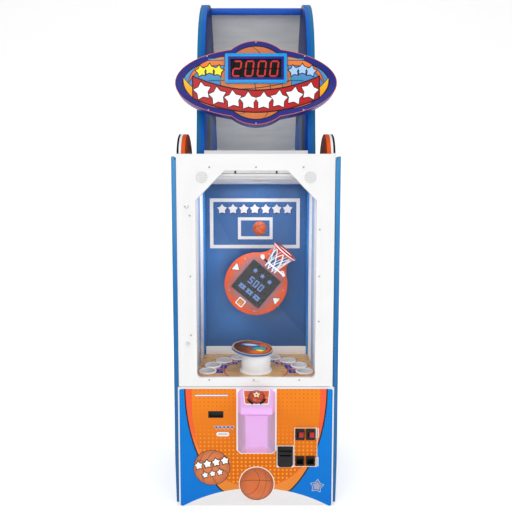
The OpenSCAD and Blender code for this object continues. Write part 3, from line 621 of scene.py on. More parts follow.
def studio_floor():
    """A pale floor that turns up into a backdrop behind the machine."""
    front_edge, bend_start, r, top = -9.0, 6.0, 1.6, 9.0
    turns = [math.pi / 2 * i / 10 for i in range(1, 11)]
    profile = [(front_edge, 0.0), (bend_start, 0.0)]
    profile += [(bend_start + r * math.sin(t), r - r * math.cos(t)) for t in turns]
    profile.append((bend_start + r, top))
    bm = bmesh.new()
    rows = [[bm.verts.new((x, y, z)) for x in (-12, 12)] for y, z in profile]
    for low, high in zip(rows, rows[1:]):
        bm.faces.new((low[0], low[1], high[1], high[0]))
    mesh = bpy.data.meshes.new("studio_floor")
    bm.to_mesh(mesh)
    bm.free()
    mesh.shade_smooth()
    floor = bpy.data.objects.new("studio_floor", mesh)
    scene.collection.objects.link(floor)
    mesh.materials.append(plain("studio_paper", (0.86, 0.86, 0.86), 0.7, mottle=0.01,
                                Emission_Color=(1, 1, 1), Emission_Strength=0.42))


studio_floor()

# ---------------------------------------------------------------- paints

white_laminate = plain("white_laminate", rgb(234, 234, 234), 0.34, mottle=0.012, grain=1400)
foot_white = plain("foot_white", rgb(228, 228, 228), 0.34, mottle=0.015)
# the side panels' blue lightens towards the top: painted light from above
side_blues_lit_from_above = [(0.0, rgb(14, 92, 150)), (0.6, rgb(26, 108, 168)), (1.0, rgb(56, 134, 190))]
side_blue = fading("side_blue", "z", side_blues_lit_from_above, 0.0, 2.08, rough=0.3, mottle=0.03)
dark_board = plain("dark_board", rgb(34, 36, 40), 0.55, grain=600, grain_depth=0.00006)
base_paint = plain("base_paint", rgb(40, 42, 46), 0.6, grain=500, grain_depth=0.00008)
black_rubber = plain("black_rubber", rgb(24, 24, 25), 0.8, grain=700, grain_depth=0.0001)
black_plastic = plain("black_plastic", rgb(18, 16, 16), 0.42, grain=1100, grain_depth=0.00003)
deep_black = plain("deep_black", rgb(9, 9, 10), 0.5, Specular_IOR_Level=0.15)
zinc = brushed("zinc", (0.62, 0.63, 0.65), "z", 0.32)
chrome = brushed("chrome", (0.78, 0.78, 0.8), "x", 0.14)
sheet_steel = brushed("sheet_steel", (0.5, 0.52, 0.54), "y", 0.36)
iron_paint = plain("iron_paint", rgb(74, 78, 84), 0.5, grain=350, grain_depth=0.0002)
motor_paint = plain("motor_paint", rgb(52, 56, 62), 0.42)
grey_moulding = plain("grey_moulding", rgb(106, 111, 118), 0.45, grain=800, grain_depth=0.00005)
box_grey = plain("box_grey", rgb(122, 126, 132), 0.42, grain=420, grain_depth=0.0001)
bar_blue = plain("bar_blue", rgb(10, 84, 190), 0.34, mottle=0.03)
bracket_black = plain("bracket_black", rgb(38, 40, 46), 0.5, grain=500, grain_depth=0.00006)
marquee_indigo = plain("marquee_indigo", rgb(32, 32, 124), 0.4, mottle=0.03)
display_blue = plain("display_blue", rgb(16, 146, 220), 0.25, mottle=0.03)
display_deep = plain("display_deep", rgb(10, 20, 120), 0.3)
cup_white = plain("cup_white", rgb(238, 238, 240), 0.26, mottle=0.012)
ticket_white = plain("ticket_white", rgb(240, 240, 240), 0.28, mottle=0.012)
matrix_black = plain("matrix_black", rgb(60, 60, 62), 0.42, grain=1600, grain_depth=0.00008)
print_white = plain("print_white", rgb(246, 246, 246), 0.34, mottle=0.01)
print_black = plain("print_black", rgb(16, 14, 14), 0.4, Specular_IOR_Level=0.25)
print_orange = plain("print_orange", rgb(226, 118, 44), 0.32, mottle=0.08)
print_navy = plain("print_navy", rgb(26, 30, 96), 0.32)
print_yellow = plain("print_yellow", rgb(246, 226, 44), 0.32)
print_sky = plain("print_sky", rgb(168, 200, 238), 0.32)
print_teal = plain("print_teal", rgb(38, 158, 166), 0.32)
print_teal_dark = plain("print_teal_dark", rgb(16, 82, 110), 0.32)
print_mid_blue = fading("print_mid_blue", "z", [(0, rgb(40, 108, 180)), (1, rgb(88, 150, 204))], 2.38, 2.6)
lamp_soft = glowing("lamp_soft", (1.0, 0.98, 0.95), 0.62)
led_red = glowing("led_red", rgb(196, 14, 18), 0.8)
led_unlit = plain("led_unlit", rgb(20, 4, 5), 0.5, Specular_IOR_Level=0.1)
matrix_blue = glowing("matrix_blue", rgb(112, 146, 204), 0.9)
reject_red = glowing("reject_red", rgb(196, 30, 26), 0.55)


def clear_pane():
    """Clear plastic with a faint haze."""
    paint = Paint("clear_pane")
    haze = paint.span(paint.noise(3, 4), 0.35, 0.7, 0.03, 0.07)
    paint.set(Base_Color=(0.05, 0.06, 0.07), Roughness=haze, IOR=1.45)
    paint.set(Alpha=0.05)
    return paint.mat


window_pane = clear_pane()

# ---------------------------------------------------------------- carried-over CAD pieces

nodes = frame["nodes"]


def dress(node, material, edge=0.0):
    """Gives a node its material and softens its edges by a width in millimetres."""
    obj = nodes[node]
    obj.data.materials.clear()
    obj.data.materials.append(material)
    if edge:
        soften(obj, edge * MM)


# each material with the width of its softened edges, in millimetres, and the nodes that it covers
for material, edge, covered in (
        (side_blue, 1.6, ("side_panel_left", "side_panel_right")),
        (dark_board, 0.8, ("rear_panel", "rear_door")),
        (base_paint, 0.8, ("base_frame",)),
        (black_rubber, 0.6, ("levelling_feet",)),
        (white_laminate, 0.3, ("hinge_pins",)),
        (white_laminate, 0.8, ("ceiling",)),
        (white_laminate, 1.2, ("door_frame",)),
        (white_laminate, 1.5, ("top_deck",)),
        (foot_white, 1.0, ("lower_front_panel",)),
        (window_pane, 0, ("door_window",)),
        (zinc, 0, ("door_screws",)),
        (zinc, 0.3, ("button_spring", "cash_box")),
        (chrome, 0, ("release_pin", "wheel_shaft")),
        (chrome, 0.4, ("door_lock_upper", "door_lock_lower")),
        (sheet_steel, 0.3, ("feed_chute", "ball_return_tray")),
        (bar_blue, 0, ("crossbar",)),
        (marquee_indigo, 0.4, ("marquee_face",)),
        (marquee_indigo, 0.6, ("marquee_box",)),
        (bracket_black, 0.8, ("marquee_brackets",)),
        (display_blue, 1.6, ("score_display",)),
        (black_plastic, 0.4, ("button_housing",)),
        (black_plastic, 0.5, ("credit_display", "door_speakers")),
        (black_plastic, 1.0, ("bill_validator", "coin_entries")),
        (ticket_white, 0.6, ("ticket_dispenser",)),
        (reject_red, 0.8, ("reject_button_left", "reject_button_right")),
        (cup_white, 0, ("scoring_cups", "sensor_bar")),
        (cup_white, 0.4, ("pedestal",)),
        (motor_paint, 0.5, ("deflector_motor",)),
        (motor_paint, 1.0, ("wheel_motor",)),
        (iron_paint, 0.8, ("wheel_bearings",)),
        (grey_moulding, 1.0, ("ball_lift",)),
        (box_grey, 0.8, ("control_box",)),
        (matrix_black, 0.6, ("wheel_display",)),
        (floor_boards("court_boards"), 0, ("play_floor",))):
    for node in covered:
        dress(node, material, edge)

# ---------------------------------------------------------------- places taken from the frame


def box_centre(node):
    lo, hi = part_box(node)
    return (lo + hi) / 2


front_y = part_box("lower_front_panel")[0].y
face_lo, face_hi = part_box("marquee_face")
wheel_axis = joint("wheel_spin")["pos_m"]
HOOP_TURN = 40             # the wheel is parked with its hoop this far clockwise from upright
front = facing_front(front_y)
sign = facing_front(face_lo.y, (face_lo.z + face_hi.z) / 2)
wall = facing_front(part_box("back_wall")[0].y)
lean = math.radians(HOOP_TURN)
wheel = Board((wheel_axis[0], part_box("wheel_display")[1].y, wheel_axis[2]),
              (math.cos(lean), 0, -math.sin(lean)), (0, -1, 0), "wheel")

# ---------------------------------------------------------------- marquee


def sign_outline(inset, a=454, b=191, r=229):
    """The marquee's outline, a wide oval joined with a round middle, moved inwards."""
    a, b, r = a - inset, b - inset, r - inset
    ring = []
    for i in range(240):
        t = 2 * math.pi * i / 240
        oval_r = a * b / math.hypot(b * math.cos(t), a * math.sin(t))
        reach = max(oval_r, r)
        ring.append((reach * math.cos(t), reach * math.sin(t)))
    return ring


def star_row(name, board, places, radii, paints, level, waist=0.56):
    """Stars with outlines: the widest shape lies lowest."""
    for k, (r, material) in enumerate(zip(radii, paints)):
        shapes = [[star(r, (x, y), turn, waist)] for x, y, turn in places]
        sheet(f"{name}_{k}", board, shapes, level + k, material)


def marquee():
    """The printed sign: ball, sweeps, speed lines, small stars and the banner."""
    ball_r = 197
    field = (407, 152)
    sheet("sign_edge_line", sign, [[sign_outline(0.4), sign_outline(3.0)[::-1]]], 0, print_orange)
    sheet("sign_black_line", sign, [[sign_outline(0, 413, 158, 203)]], 0, print_black)
    sheet("sign_field", sign, [[oval(*field)]], 1, print_mid_blue)
    skin = ball_skin("sign_ball_print", on_disc(sign, ball_r), rgb(224, 116, 40), rgb(34, 20, 22),
                     (-8, 6, -24), 0.016, pebble=300, depth=0.00002, rough=0.34, shade=0.35)
    sheet("sign_ball_line", sign, [[circle(ball_r + 3)]], 2, print_black)
    sheet("sign_ball", sign, [[circle(ball_r, n=120)]], 3, skin)
    # orange sweeps above, yellow sweeps below, each drawn on the left and mirrored
    upper = bend((-377, 1), (-368, 78), (-290, 128), (-176, 142))
    upper += bend((-176, 96), (-262, 104), (-340, 74), (-377, 1))
    lower = bend((-405, 26), (-412, -60), (-318, -128), (-176, -142))
    lower += bend((-176, -104), (-280, -88), (-352, -42), (-405, 26))
    sweep_up = fading("sweep_up", "z", [(0, rgb(214, 84, 40)), (1, rgb(236, 128, 46))], 2.48, 2.62)
    sweep_low = fading("sweep_low", "z", [(0, rgb(226, 112, 38)), (1, rgb(248, 190, 10))], 2.36, 2.51)
    for name, ring, material in (("sweep_upper", upper[::-1], sweep_up), ("sweep_lower", lower, sweep_low)):
        both = [ring, mirrored(ring)]
        sheet(name + "_line", sign, [[grown(r, 3.2)] for r in both], 4, print_black)
        sheet(name, sign, [[r] for r in both], 5, material)
    bars, dark_bars = [], []
    for side in (-1, 1):
        for y in (129, 20):
            bars.append([rounded(88, 5, 1, (side * 222, y), 2)])
            dark_bars.append([rounded(88, 4, 1, (side * 222, y - 7), 2)])
    sheet("speed_lines", sign, bars, 6, print_teal)
    sheet("speed_lines_dark", sign, dark_bars, 6, print_teal_dark)
    left = [(-307, 64, 12), (-259, 74, 0), (-211, 66, -10)]
    right = [(-x, y, -turn) for x, y, turn in left]
    star_row("sign_stars_left", sign, left, (38, 30), (print_black, print_yellow), 6, 0.6)
    star_row("sign_stars_right", sign, right, (38, 30), (print_black, print_sky), 6, 0.6)
    count, pitch = 8, 86

    def hang(x):
        """Height of the banner's middle line, which sags between its ends."""
        return -34 - 66 * (1 - (x / 330) ** 2)

    xs = [(k - (count - 1) / 2) * pitch for k in range(count)]
    arc = [(x, hang(x), -0.03 * x) for x in xs]
    banner_red = plain("banner_red", rgb(178, 14, 22), 0.34)
    for name, wide, half, material, level in (("sign_banner_line", 358, 64, print_black, 7),
                                              ("sign_banner", 351, 57, banner_red, 8)):
        top = [(x, hang(x) + half) for x in [wide * (i / 30 - 1) for i in range(61)]]
        low = [(x, y - 2 * half) for x, y in top]
        sheet(name, sign, [[low + top[::-1]]], level, material)
    star_row("sign_big_stars", sign, arc, (57, 50), (print_black, print_white), 9, 0.6)
    for k, (x, y) in enumerate([(0, 221), (0, -221), (-272, 146), (272, 146), (-268, -147), (268, -147)]):
        pan_screw(f"sign_screw_{k}", sign, (x, y), 4.2, zinc)


def pan_screw(name, board, at, r, material, height=1.8):
    """A domed screw head whose cross recess is a black cross of painted shade."""
    profile = [(r, 0), (r, height * 0.35), (r * 0.9, height * 0.75), (r * 0.62, height), (0, height * 1.05)]
    make(name, lathe(profile, board, at, 24), material, board.body, smooth=True)
    arm, half = r * 0.62, r * 0.13
    quarter = [(half, half), (half, arm), (-half, arm)]
    cross = [p for k in range(4) for p in turned(quarter, 90 * k)]
    ring = [(at[0] + x, at[1] + y) for x, y in turned(cross, 17 * len(name))]
    # the black cross stands for the recess: painted shade, not a hollow
    plate(name + "_recess_shade", board, [[ring]], height * 0.9 * MM, (height * 1.05 + 0.08) * MM, deep_black)


def score():
    """The four-digit display on the marquee: dark well, deep blue inner frame and red digits."""
    lo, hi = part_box("score_display")
    centre = ((lo.z + hi.z) / 2 - (face_lo.z + face_hi.z) / 2) / MM
    well, lip = 6.0, 16        # depths of the display's face and of its frame
    plate("score_back", sign, [[rounded(296, 112, 2, (0, centre))]], well * MM, (well + 0.3) * MM, deep_black)
    outer, inner = rounded(297.5, 113.5, 1, (0, centre)), rounded(283, 100, 1, (0, centre))[::-1]
    low, high = (well + 0.3) * MM, (lip - 1) * MM
    plate("score_inner_frame", sign, [[outer, inner]], low, high, display_deep, edge=0.8 * MM)
    border = [rounded(311, 126, 2, (0, centre)), rounded(298, 114, 1, (0, centre))[::-1]]
    plate("score_border", sign, [border], lip * MM, lip * MM + LAYER, display_deep)
    lit, unlit = [], []
    for k, digit in enumerate("2000"):
        on, off = seven(digit, 41, 80, 9, (-131 + k * 69, centre - 40), 0.12)
        lit += on
        unlit += off
    plate("score_digits", sign, lit, low, (well + 0.9) * MM, led_red)
    plate("score_digits_unlit", sign, unlit, low, (well + 0.5) * MM, led_unlit)


def upright_paint():
    """Bright and deep blue bands on the edges, painted light and shade on one blue. Inside, navy as painted
    shade on the inner faces, with a dark channel and a bright rail.
    """
    paint = Paint("upright_blue")
    x, y, z = paint.axes()
    wide = paint.size(x)
    # navy on the inner faces: painted shade
    inner = rgb(4, 44, 108)
    low = paint.span(z, 2.44, 2.46, 1, 0)
    for depth, following in ((350, rgb(40, 48, 58)), (505, rgb(66, 88, 122)), (690, rgb(14, 88, 178))):
        past = paint.past(y, front_y + depth * MM)
        inner = paint.blend(paint.times(past, low), inner, following)
    colour = inner
    # bands across the front edge and the outer side: painted light and shade on one blue
    for edge, following in ((310.6, rgb(10, 94, 188)), (334, rgb(22, 108, 158)), (357.4, rgb(18, 90, 134))):
        colour = paint.blend(paint.past(wide, edge * MM), colour, following)
    return paint.finish(colour, 0.42, mottle=0.04, Specular_IOR_Level=0.12)


def tower_sheet():
    """Pale grey sheet with faint drawn streaks and one lighter wave low down."""
    paint = Paint("tower_sheet")
    x, _, z = paint.axes()
    streak = paint.noise(1, 4, where=paint.stretched(3, 3, 26))
    body = paint.shades(streak, [(0.35, rgb(190, 190, 189)), (0.7, rgb(203, 203, 201))])
    dip = paint.times(paint.times(x, x), 0.55)
    line = paint.size(paint.less(z, paint.plus(dip, 2.235)))
    body = paint.blend(paint.span(line, 0.004, 0.014, 0.6, 0), body, rgb(232, 232, 230))
    return paint.finish(body, 0.6, mottle=0.02, Specular_IOR_Level=0.15)


for node in ("upright_left", "upright_right"):
    dress(node, upright_paint(), 1.5)
dress("tower_back", tower_sheet())
# the first, darker orange on the fins' inner faces is painted shade; then orange, white and black bands
# outwards
fin_colours_shaded_inside = (rgb(164, 66, 30), rgb(222, 88, 24), rgb(238, 238, 240), rgb(18, 20, 26))
dress("top_fins", banded("fin_bands", fin_colours_shaded_inside, (407.6, 431, 444), 0.6, Specular_IOR_Level=0.15), 0.5)
marquee()
score()

# ---------------------------------------------------------------- printed lower panel

print_top = 729            # height of the print's upper edge
print_half = 453           # half its width


def foot_line(x):
    """Height of the white foot's arched edge."""
    peak, corner_x, corner_z = 119, 428, 12
    rise = peak - corner_z
    r = (corner_x ** 2 + rise ** 2) / (2 * rise)
    return peak - r + math.sqrt(r * r - x * x)


def bowl(half, depth, power):
    """A bowl that hangs from the print's upper edge and is cut off by the foot."""
    ring = []
    for i in range(61):
        x = -half * math.cos(math.pi * i / 60)
        low = print_top - depth * max(1 - (x / half) ** 2, 0) ** (1 / power)
        ring.append((x, max(low, foot_line(x))))
    ring.append((half, print_top))
    return ring


blue_dots = dotted("blue_dots", (rgb(0, 118, 208), rgb(2, 134, 224)), (rgb(0, 88, 176), rgb(0, 102, 190)),
                   12.9 * MM, (0.05, 0.72, 0.24, 0.30))
orange_dots = dotted("orange_dots", (rgb(214, 104, 20), rgb(236, 132, 28)),
                     (rgb(244, 164, 40), rgb(214, 98, 20)), 24.5 * MM, (0.30, 0.66, 0.25, 0.16))
band_stops = [(0.0, rgb(226, 134, 40)), (0.42, rgb(232, 126, 36)), (0.62, rgb(238, 92, 38)),
              (1.0, rgb(240, 88, 38))]
band_print = fading("band_print", "z", band_stops, 0.09, 0.73, rough=0.32)
dome_lo, dome_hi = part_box("front_dome")
dome_at = ((dome_lo.x + dome_hi.x) / 2 / MM, (dome_lo.z + dome_hi.z) / 2 / MM)


def node_rect(node, grow):
    """A rounded rectangle round a node as seen from the front, larger by grow millimetres."""
    lo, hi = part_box(node)
    centre = ((lo.x + hi.x) / 2 / MM, (lo.z + hi.z) / 2 / MM)
    return rounded((hi.x - lo.x) / MM + 2 * grow, (hi.z - lo.z) / MM + 2 * grow, 3, centre)


def lower_panel():
    """The printed bowls and dots of the lower panel, open where other pieces come through."""
    r = 12
    side = [(-print_half, 14), (-print_half + 3, 9), (-print_half + 9, 8)]
    arch = [(x, foot_line(x)) for x in [-436 + 872 * i / 48 for i in range(49)]]
    tops = circle(r, (print_half - r, print_top - r), 6, 0, 90)
    tops += circle(r, (r - print_half, print_top - r), 6, 90, 180)
    edge = side + arch + [(-x, y) for x, y in side[::-1]] + tops
    blue = sheet("print_blue", front, [[edge]], 0, blue_dots)
    line = sheet("print_outline", front, [[bowl(424, 722, 2)]], 1, print_black)
    band = sheet("print_band", front, [[bowl(416, 712, 2)]], 2, band_print)
    thin = sheet("print_thin_line", front, [[bowl(384, 607, 3)]], 3,
                 plain("thin_red_line", rgb(232, 84, 36), 0.32))
    field = sheet("print_field", front, [[bowl(381, 603, 3)]], 4, orange_dots)
    console_lo, console_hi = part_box("console_shell")
    left, right, low = console_lo.x / MM - 9, console_hi.x / MM + 9, console_lo.z / MM - 7
    corner, high = 22, print_top + 0.5
    keyline = [(left, low + corner), (left + corner, low), (right - corner, low), (right, low + corner),
               (right, high), (left, high)]
    frames = [[keyline], [node_rect("bill_validator", 4.5)], [node_rect("coin_door_panel", 3.5)]]
    white_lines = sheet("print_white_lines", front, frames, 5, print_white)
    ticket_mouth = rounded(70, 20, 1, (-197, 455))
    coin_opening = rounded(117.5, 225, 1, (291.5, 373))
    console_opening = rounded(130, 138, 1, (3, 629))
    holes = [[circle(99, dome_at)], [node_rect("credit_display", -1.5)], [ticket_mouth],
             [node_rect("bill_validator", -3)], [coin_opening], [console_opening]]
    for obj in (blue, line, band, thin, field, white_lines):
        cut(obj, front, holes)


def printed_ball():
    """The printed basketball beside the dome, with plain stars across it."""
    at, r = (-264, 247), 107
    skin = ball_skin("panel_ball_print", on_disc(front, r, at), rgb(216, 116, 52), rgb(60, 26, 14),
                     (12, -24, 20), 0.02, pebble=260, depth=0.00002, rough=0.32, shade=0.45)
    sheet("panel_ball_line", front, [[circle(r + 3, at, 96)]], 5, print_black)
    sheet("panel_ball", front, [[circle(r, at, 96)]], 6, skin)
    upper = [(at[0] + x, at[1] + 28 + 0.2 * x, 11) for x in (-78, -26, 26, 78)]
    lower = [(at[0] + x, at[1] - 38 + 0.2 * x, 11) for x in (-40, 4, 48)]
    star_row("panel_stars", front, upper, (33, 25), (print_black, print_white), 7, 0.62)
    star_row("panel_stars_low", front, lower, (26, 19), (print_black, print_white), 7, 0.62)


def small_prints():
    """A pinstripe, arrows over the ticket mouth and a small star badge, all without lettering."""
    sheet("pinstripe_line", front, [[rounded(200, 11, 5, (-263, 690))]], 5,
          plain("pinstripe_blue", rgb(126, 156, 200), 0.32))
    sheet("pinstripe", front, [[rounded(192, 5, 2.4, (-263, 690))]], 6, print_white)
    arrows = [[(-244 + k * 23.5, 501), (-236 + k * 23.5, 487), (-228 + k * 23.5, 501)] for k in range(5)]
    sheet("ticket_arrow_lines", front, [[grown(r, 3)] for r in arrows], 5, print_sky)
    sheet("ticket_arrows", front, [[r] for r in arrows], 6, print_black)
    badge_paints = (print_sky, print_navy, plain("badge_silver", rgb(150, 160, 190), 0.3))
    star_row("badge", front, [(365, 132, -8)], (45, 38, 31), badge_paints, 5, 0.6)


lower_panel()
printed_ball()
small_prints()

dress("coin_door_panel", orange_dots, 0.5)

# ---------------------------------------------------------------- inside the window

play_y = wall.origin.y


def walls_print():
    """White side walls with a pale blue front part and bright blue corner mouldings."""
    paint = Paint("walls_print")
    x, y, _ = paint.axes()
    wide = paint.size(x)
    depth = paint.less(play_y, y)           # how far in front of the back wall
    front_part = paint.times(paint.span(depth, 170 * MM, 176 * MM), paint.past(wide, 367.8 * MM))
    corner = paint.times(paint.past(14.5 * MM, depth), paint.past(wide, 353.8 * MM))
    streak = paint.span(paint.noise(1, 3, where=paint.stretched(1, 30, 1.2)), 0.35, 0.65)
    pale = paint.blend(streak, rgb(86, 128, 186), rgb(176, 190, 214))
    pale = paint.blend(paint.span(depth, 260 * MM, 330 * MM, 1, 0), rgb(206, 208, 214), pale)
    bright = paint.blend(streak, rgb(20, 104, 186), rgb(52, 140, 214))
    colour = paint.blend(front_part, rgb(242, 242, 242), pale)
    return paint.finish(paint.blend(corner, colour, bright), 0.28, mottle=0.012)


def back_wall_print():
    """The painted backboard and its row of stars."""
    # soft pools of painted light on the blue wall
    pools = [(-0.17, 1.15, 0.30, 0.85), (-0.30, 1.46, 0.24, 0.5), (0.0, 1.93, 0.26, 0.55),
             (-0.04, 0.93, 0.26, 0.3), (-0.3, 0.9, 0.3, 0.35)]
    dress("back_wall", wall_with_painted_light("wall_blue", rgb(50, 90, 144), rgb(66, 122, 188), pools), 0.5)
    lines = []
    for w, h, line, at in ((627, 347, 24, (-8, 1702)), (242, 153, 21, (-5, 1668))):
        lines.append([rounded(w, h, 0.5, at, 1), rounded(w - 2 * line, h - 2 * line, 0.5, at, 1)[::-1]])
    # pools of painted light on the white lines, strongest near the top
    pools = [(0, 1.88, 0.2, 1.0), (-0.3, 1.6, 0.3, 0.4)]
    paper = wall_with_painted_light("backboard_white", rgb(204, 204, 208), rgb(240, 236, 232), pools)
    sheet("backboard_lines", wall, lines, 0, paper)
    places = [(-8 + 76 * k, 1801, 0) for k in range(-3, 4)]
    shadow = [(x + 3, y - 5, 0) for x, y, _ in places]
    star_row("wall_star_shadows", wall, shadow, (39,), (print_navy,), 0, 0.6)
    star_row("wall_stars", wall, places, (36,), (paper,), 1, 0.6)


def court_prints():
    """Circle lines round the pedestal, a line beyond the cups, rings round them and scores in front."""
    court = Board((0, front_y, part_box("play_floor")[1].z), (1, 0, 0), (0, 0, 1), "cabinet")
    line_dark = plain("court_line_dark", rgb(104, 60, 34), 0.3)
    line_red = plain("court_line_red", rgb(196, 84, 40), 0.3)
    outer, middle, inner = (circle(r, (0, 205), 96) for r in (207, 200, 197))
    sheet("court_circle", court, [[outer, middle[::-1]]], 0, line_red)
    sheet("court_circle_edge", court, [[middle, inner[::-1]]], 0, line_dark)
    arc = circle(368, (0, 183), 60, 12, 168) + circle(364, (0, 183), 60, 12, 168)[::-1]
    on_floor = [(x, y) for x, y in arc if abs(x) < 366 and y < 540]
    sheet("court_outer_line", court, [[on_floor]], 0, line_dark)
    lo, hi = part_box("scoring_cups")
    cup_r, score_reach, pitch = 57, 228, math.radians(22.5)
    cup_reach = (hi.x - lo.x) / 2 / MM - cup_r
    centre_y = (lo.y - front_y) / MM + cup_r

    def place(k, reach):
        """A point on the line from the arc's centre through cup k, counted from the right."""
        return reach * math.cos(pitch * k), centre_y + reach * math.sin(pitch * k)

    scores = []
    for k, text in enumerate(("6", "8", "10", "20", "50", "20", "10", "8", "6")):
        scores += blocks(text, 14 if len(text) == 1 else 10.5, place(8 - k, score_reach), 1.04)
    sheet("score_numbers", court, scores, 2, plain("score_blue", rgb(0, 4, 168), 0.3))
    cups = [place(k, cup_reach) for k in range(9)]
    sheet("cup_rings", court, [[circle(62, at, 48), circle(56.5, at, 48)[::-1]] for at in cups], 0, line_red)


def deflector():
    """The printed round board on the pedestal, tilted as the CAD piece is."""
    piece = nodes["deflector_plate"]
    up = Vector()
    for face in piece.data.polygons:
        if face.normal.z > 0.9:
            up += face.normal * face.area
    up.normalize()
    lo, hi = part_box("deflector_plate")
    middle = (lo + hi) / 2
    across = (Vector((1, 0, 0)) - up * up.x).normalized()
    tops = [up.dot(v.co - middle) for v in piece.data.vertices]
    board = Board(middle + up * max(tops), across, up, "deflector")
    half = (max(tops) - min(tops)) / 2
    paint = Paint("deflector_edge")
    layer = paint.span(paint.dot(paint.away(middle), up), half - 4.2 * MM, half - 3.6 * MM)
    edge_colour = paint.blend(layer, rgb(24, 84, 150), rgb(236, 236, 236))
    dress("deflector_plate", paint.finish(edge_colour, 0.32), 0.8)
    browns = [(0, rgb(52, 26, 10)), (0.35, rgb(112, 56, 20)), (0.6, rgb(206, 98, 26)), (1, rgb(190, 82, 22))]
    field = fading("deflector_field", "x", browns, -0.13, 0.09, Specular_IOR_Level=0.1)
    tan, brown = plain("border_tan", rgb(206, 162, 96), 0.3), plain("border_brown", rgb(62, 34, 16), 0.3)
    discs = (("deflector_border", 129, tan), ("deflector_dark", 122, brown), ("deflector_disc", 113, field))
    for level, (name, r, material) in enumerate(discs):
        sheet(name, board, [[circle(r, n=96)]], level, material)
    sweep = bend((-98, -8), (-80, 66), (-8, 92), (66, 78)) + bend((66, 70), (4, 70), (-44, 44), (-62, -20))
    cloud = [(x - 14, y + 40) for x, y in oval(56, 25, n=60)]
    light = [(x * 0.7 - 4, y * 0.6 + 16) for x, y in cloud]
    wave = bend((-8, -32), (12, 14), (62, 26), (88, 10))
    wave += bend((82, -24), (50, -40), (20, -46), (-8, -32))[:-1]
    drop = bend((20, -44), (34, -34), (56, -34), (70, -42))
    drop += bend((62, -60), (46, -64), (30, -60), (20, -44))[:-1]
    for name, ring, level, material in (
            ("deflector_sweep", sweep[::-1], 3, plain("sweep_brown", rgb(74, 42, 20), 0.3)),
            ("deflector_oval_line", grown(cloud, 8), 4, print_navy),
            ("deflector_oval", cloud, 5, plain("oval_blue", rgb(96, 122, 172), 0.3)),
            ("deflector_oval_light", light, 6, print_sky),
            ("deflector_wave_line", grown(wave[::-1], 7), 4, print_navy),
            ("deflector_wave", wave[::-1], 5, print_teal),
            ("deflector_drop", drop[::-1], 5, print_yellow)):
        sheet(name, board, [[ring]], level, material)


def light_strip():
    """The lit strip along the front of the ceiling, held by two dark clips."""
    ledge = facing_front(front_y + 30 * MM)
    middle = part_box("ceiling")[1].z / MM - 12
    plate("light_strip", ledge, [[rounded(492, 12, 3, (0, middle))]], 0, 2.4 * MM, lamp_soft, edge=0.5 * MM)
    plate("light_strip_seat", ledge, [[rounded(499, 19, 2, (0, middle))]], 0, 0.6 * MM, box_grey)
    clips = [[rounded(11, 22, 2, (side * 119, middle))] for side in (-1, 1)]
    plate("light_strip_clips", ledge, clips, 0, 3 * MM, matrix_black, edge=0.4 * MM)


dress("interior_walls", walls_print(), 0.8)
light_strip()
back_wall_print()
court_prints()
deflector()

# ---------------------------------------------------------------- the wheel


def wheel_print():
    """Orange-red at the rim of the disc, fading to pink and grey round the display."""
    paint = Paint("wheel_print")
    away = paint.away(wheel.origin)
    parts = [paint.size(paint.dot(away, axis)) for axis in (wheel.x, wheel.y)]
    square = paint.calc("POWER", paint.plus(*[paint.calc("POWER", p, 4) for p in parts]), 0.25)
    cloud = paint.times(paint.less(paint.noise(9, 4), 0.5), 0.03)
    at = paint.span(paint.plus(square, cloud), 0.116, 0.204)
    colour = paint.shades(at, [(0, rgb(146, 104, 112)), (0.35, rgb(178, 98, 86)), (0.75, rgb(212, 90, 54)),
                               (1, rgb(222, 86, 42))])
    return paint.finish(colour, 0.3, mottle=0.05)


def wheel_face():
    """The prints on the disc: two pointers, a backing behind the net and a square sticker."""
    dress("wheel_disc", wheel_print(), 0.8)
    pointers = [[(190, 28), (148, 0), (190, -28)], [(-190, -28), (-148, 0), (-190, 28)]]
    sheet("pointer_lines", wheel, [[grown(r, 3.4)] for r in pointers], 0, print_black)
    sheet("pointers", wheel, [[r] for r in pointers], 1, plain("pointer_white", rgb(226, 224, 222), 0.3))
    backing = [(-38, 146), (38, 146), (64, 268), (-64, 268)]
    sheet("net_backing", wheel, [[backing]], 0, plain("net_backing_blue", rgb(58, 104, 158), 0.4, mottle=0.1))
    at, ball_at, ball_r = (0, -163), (0, -166), 15
    sheet("sticker", wheel, [[rounded(54, 52, 5, at)]], 0, print_white)
    brown = plain("sticker_brown", rgb(150, 92, 66), 0.3)
    sheet("sticker_field", wheel, [[rounded(43, 41, 2, at)]], 1, brown)
    skin = ball_skin("sticker_ball_print", on_disc(wheel, ball_r, ball_at), rgb(236, 150, 60),
                     rgb(60, 26, 14), (10, 0, 24), 0.05, depth=0.00001, rough=0.3)
    sheet("sticker_ball", wheel, [[circle(ball_r, ball_at, 48)]], 2, skin)


def wheel_matrix():
    """The lit picture of the display, in three rows: stars, the number and tickets."""
    low, high, glass = 5.0 * MM, 5.6 * MM, 6.0 * MM
    columns, row = (-62, 0, 62), 69
    lit = [[star(19, (x, row - 1), 0, 0.5)] for x in columns]
    lit += blocks("500", 10.4, (0, 0), 0.9)
    plate("display_lit", wheel, lit, low, high, matrix_blue)
    w, h, notch = 24, 15, 5
    ticket = [(-w, -h), (w, -h), (w, -notch)] + circle(notch, (w, 0), 8, -90, -270)
    ticket += [(w, h), (-w, h), (-w, notch)] + circle(notch, (-w, 0), 8, 90, -90)
    tickets = []
    for x in columns:
        body = [(x + px, py - row - 1) for px, py in ticket]
        tickets.append([body, star(9, (x, -row - 1), 0, 0.5)[::-1]])
    plate("display_tickets", wheel, tickets, low, high, matrix_blue)
    plate("display_glass", wheel, [[rounded(229, 229, 1)]], glass, glass + 0.6 * MM, window_pane)


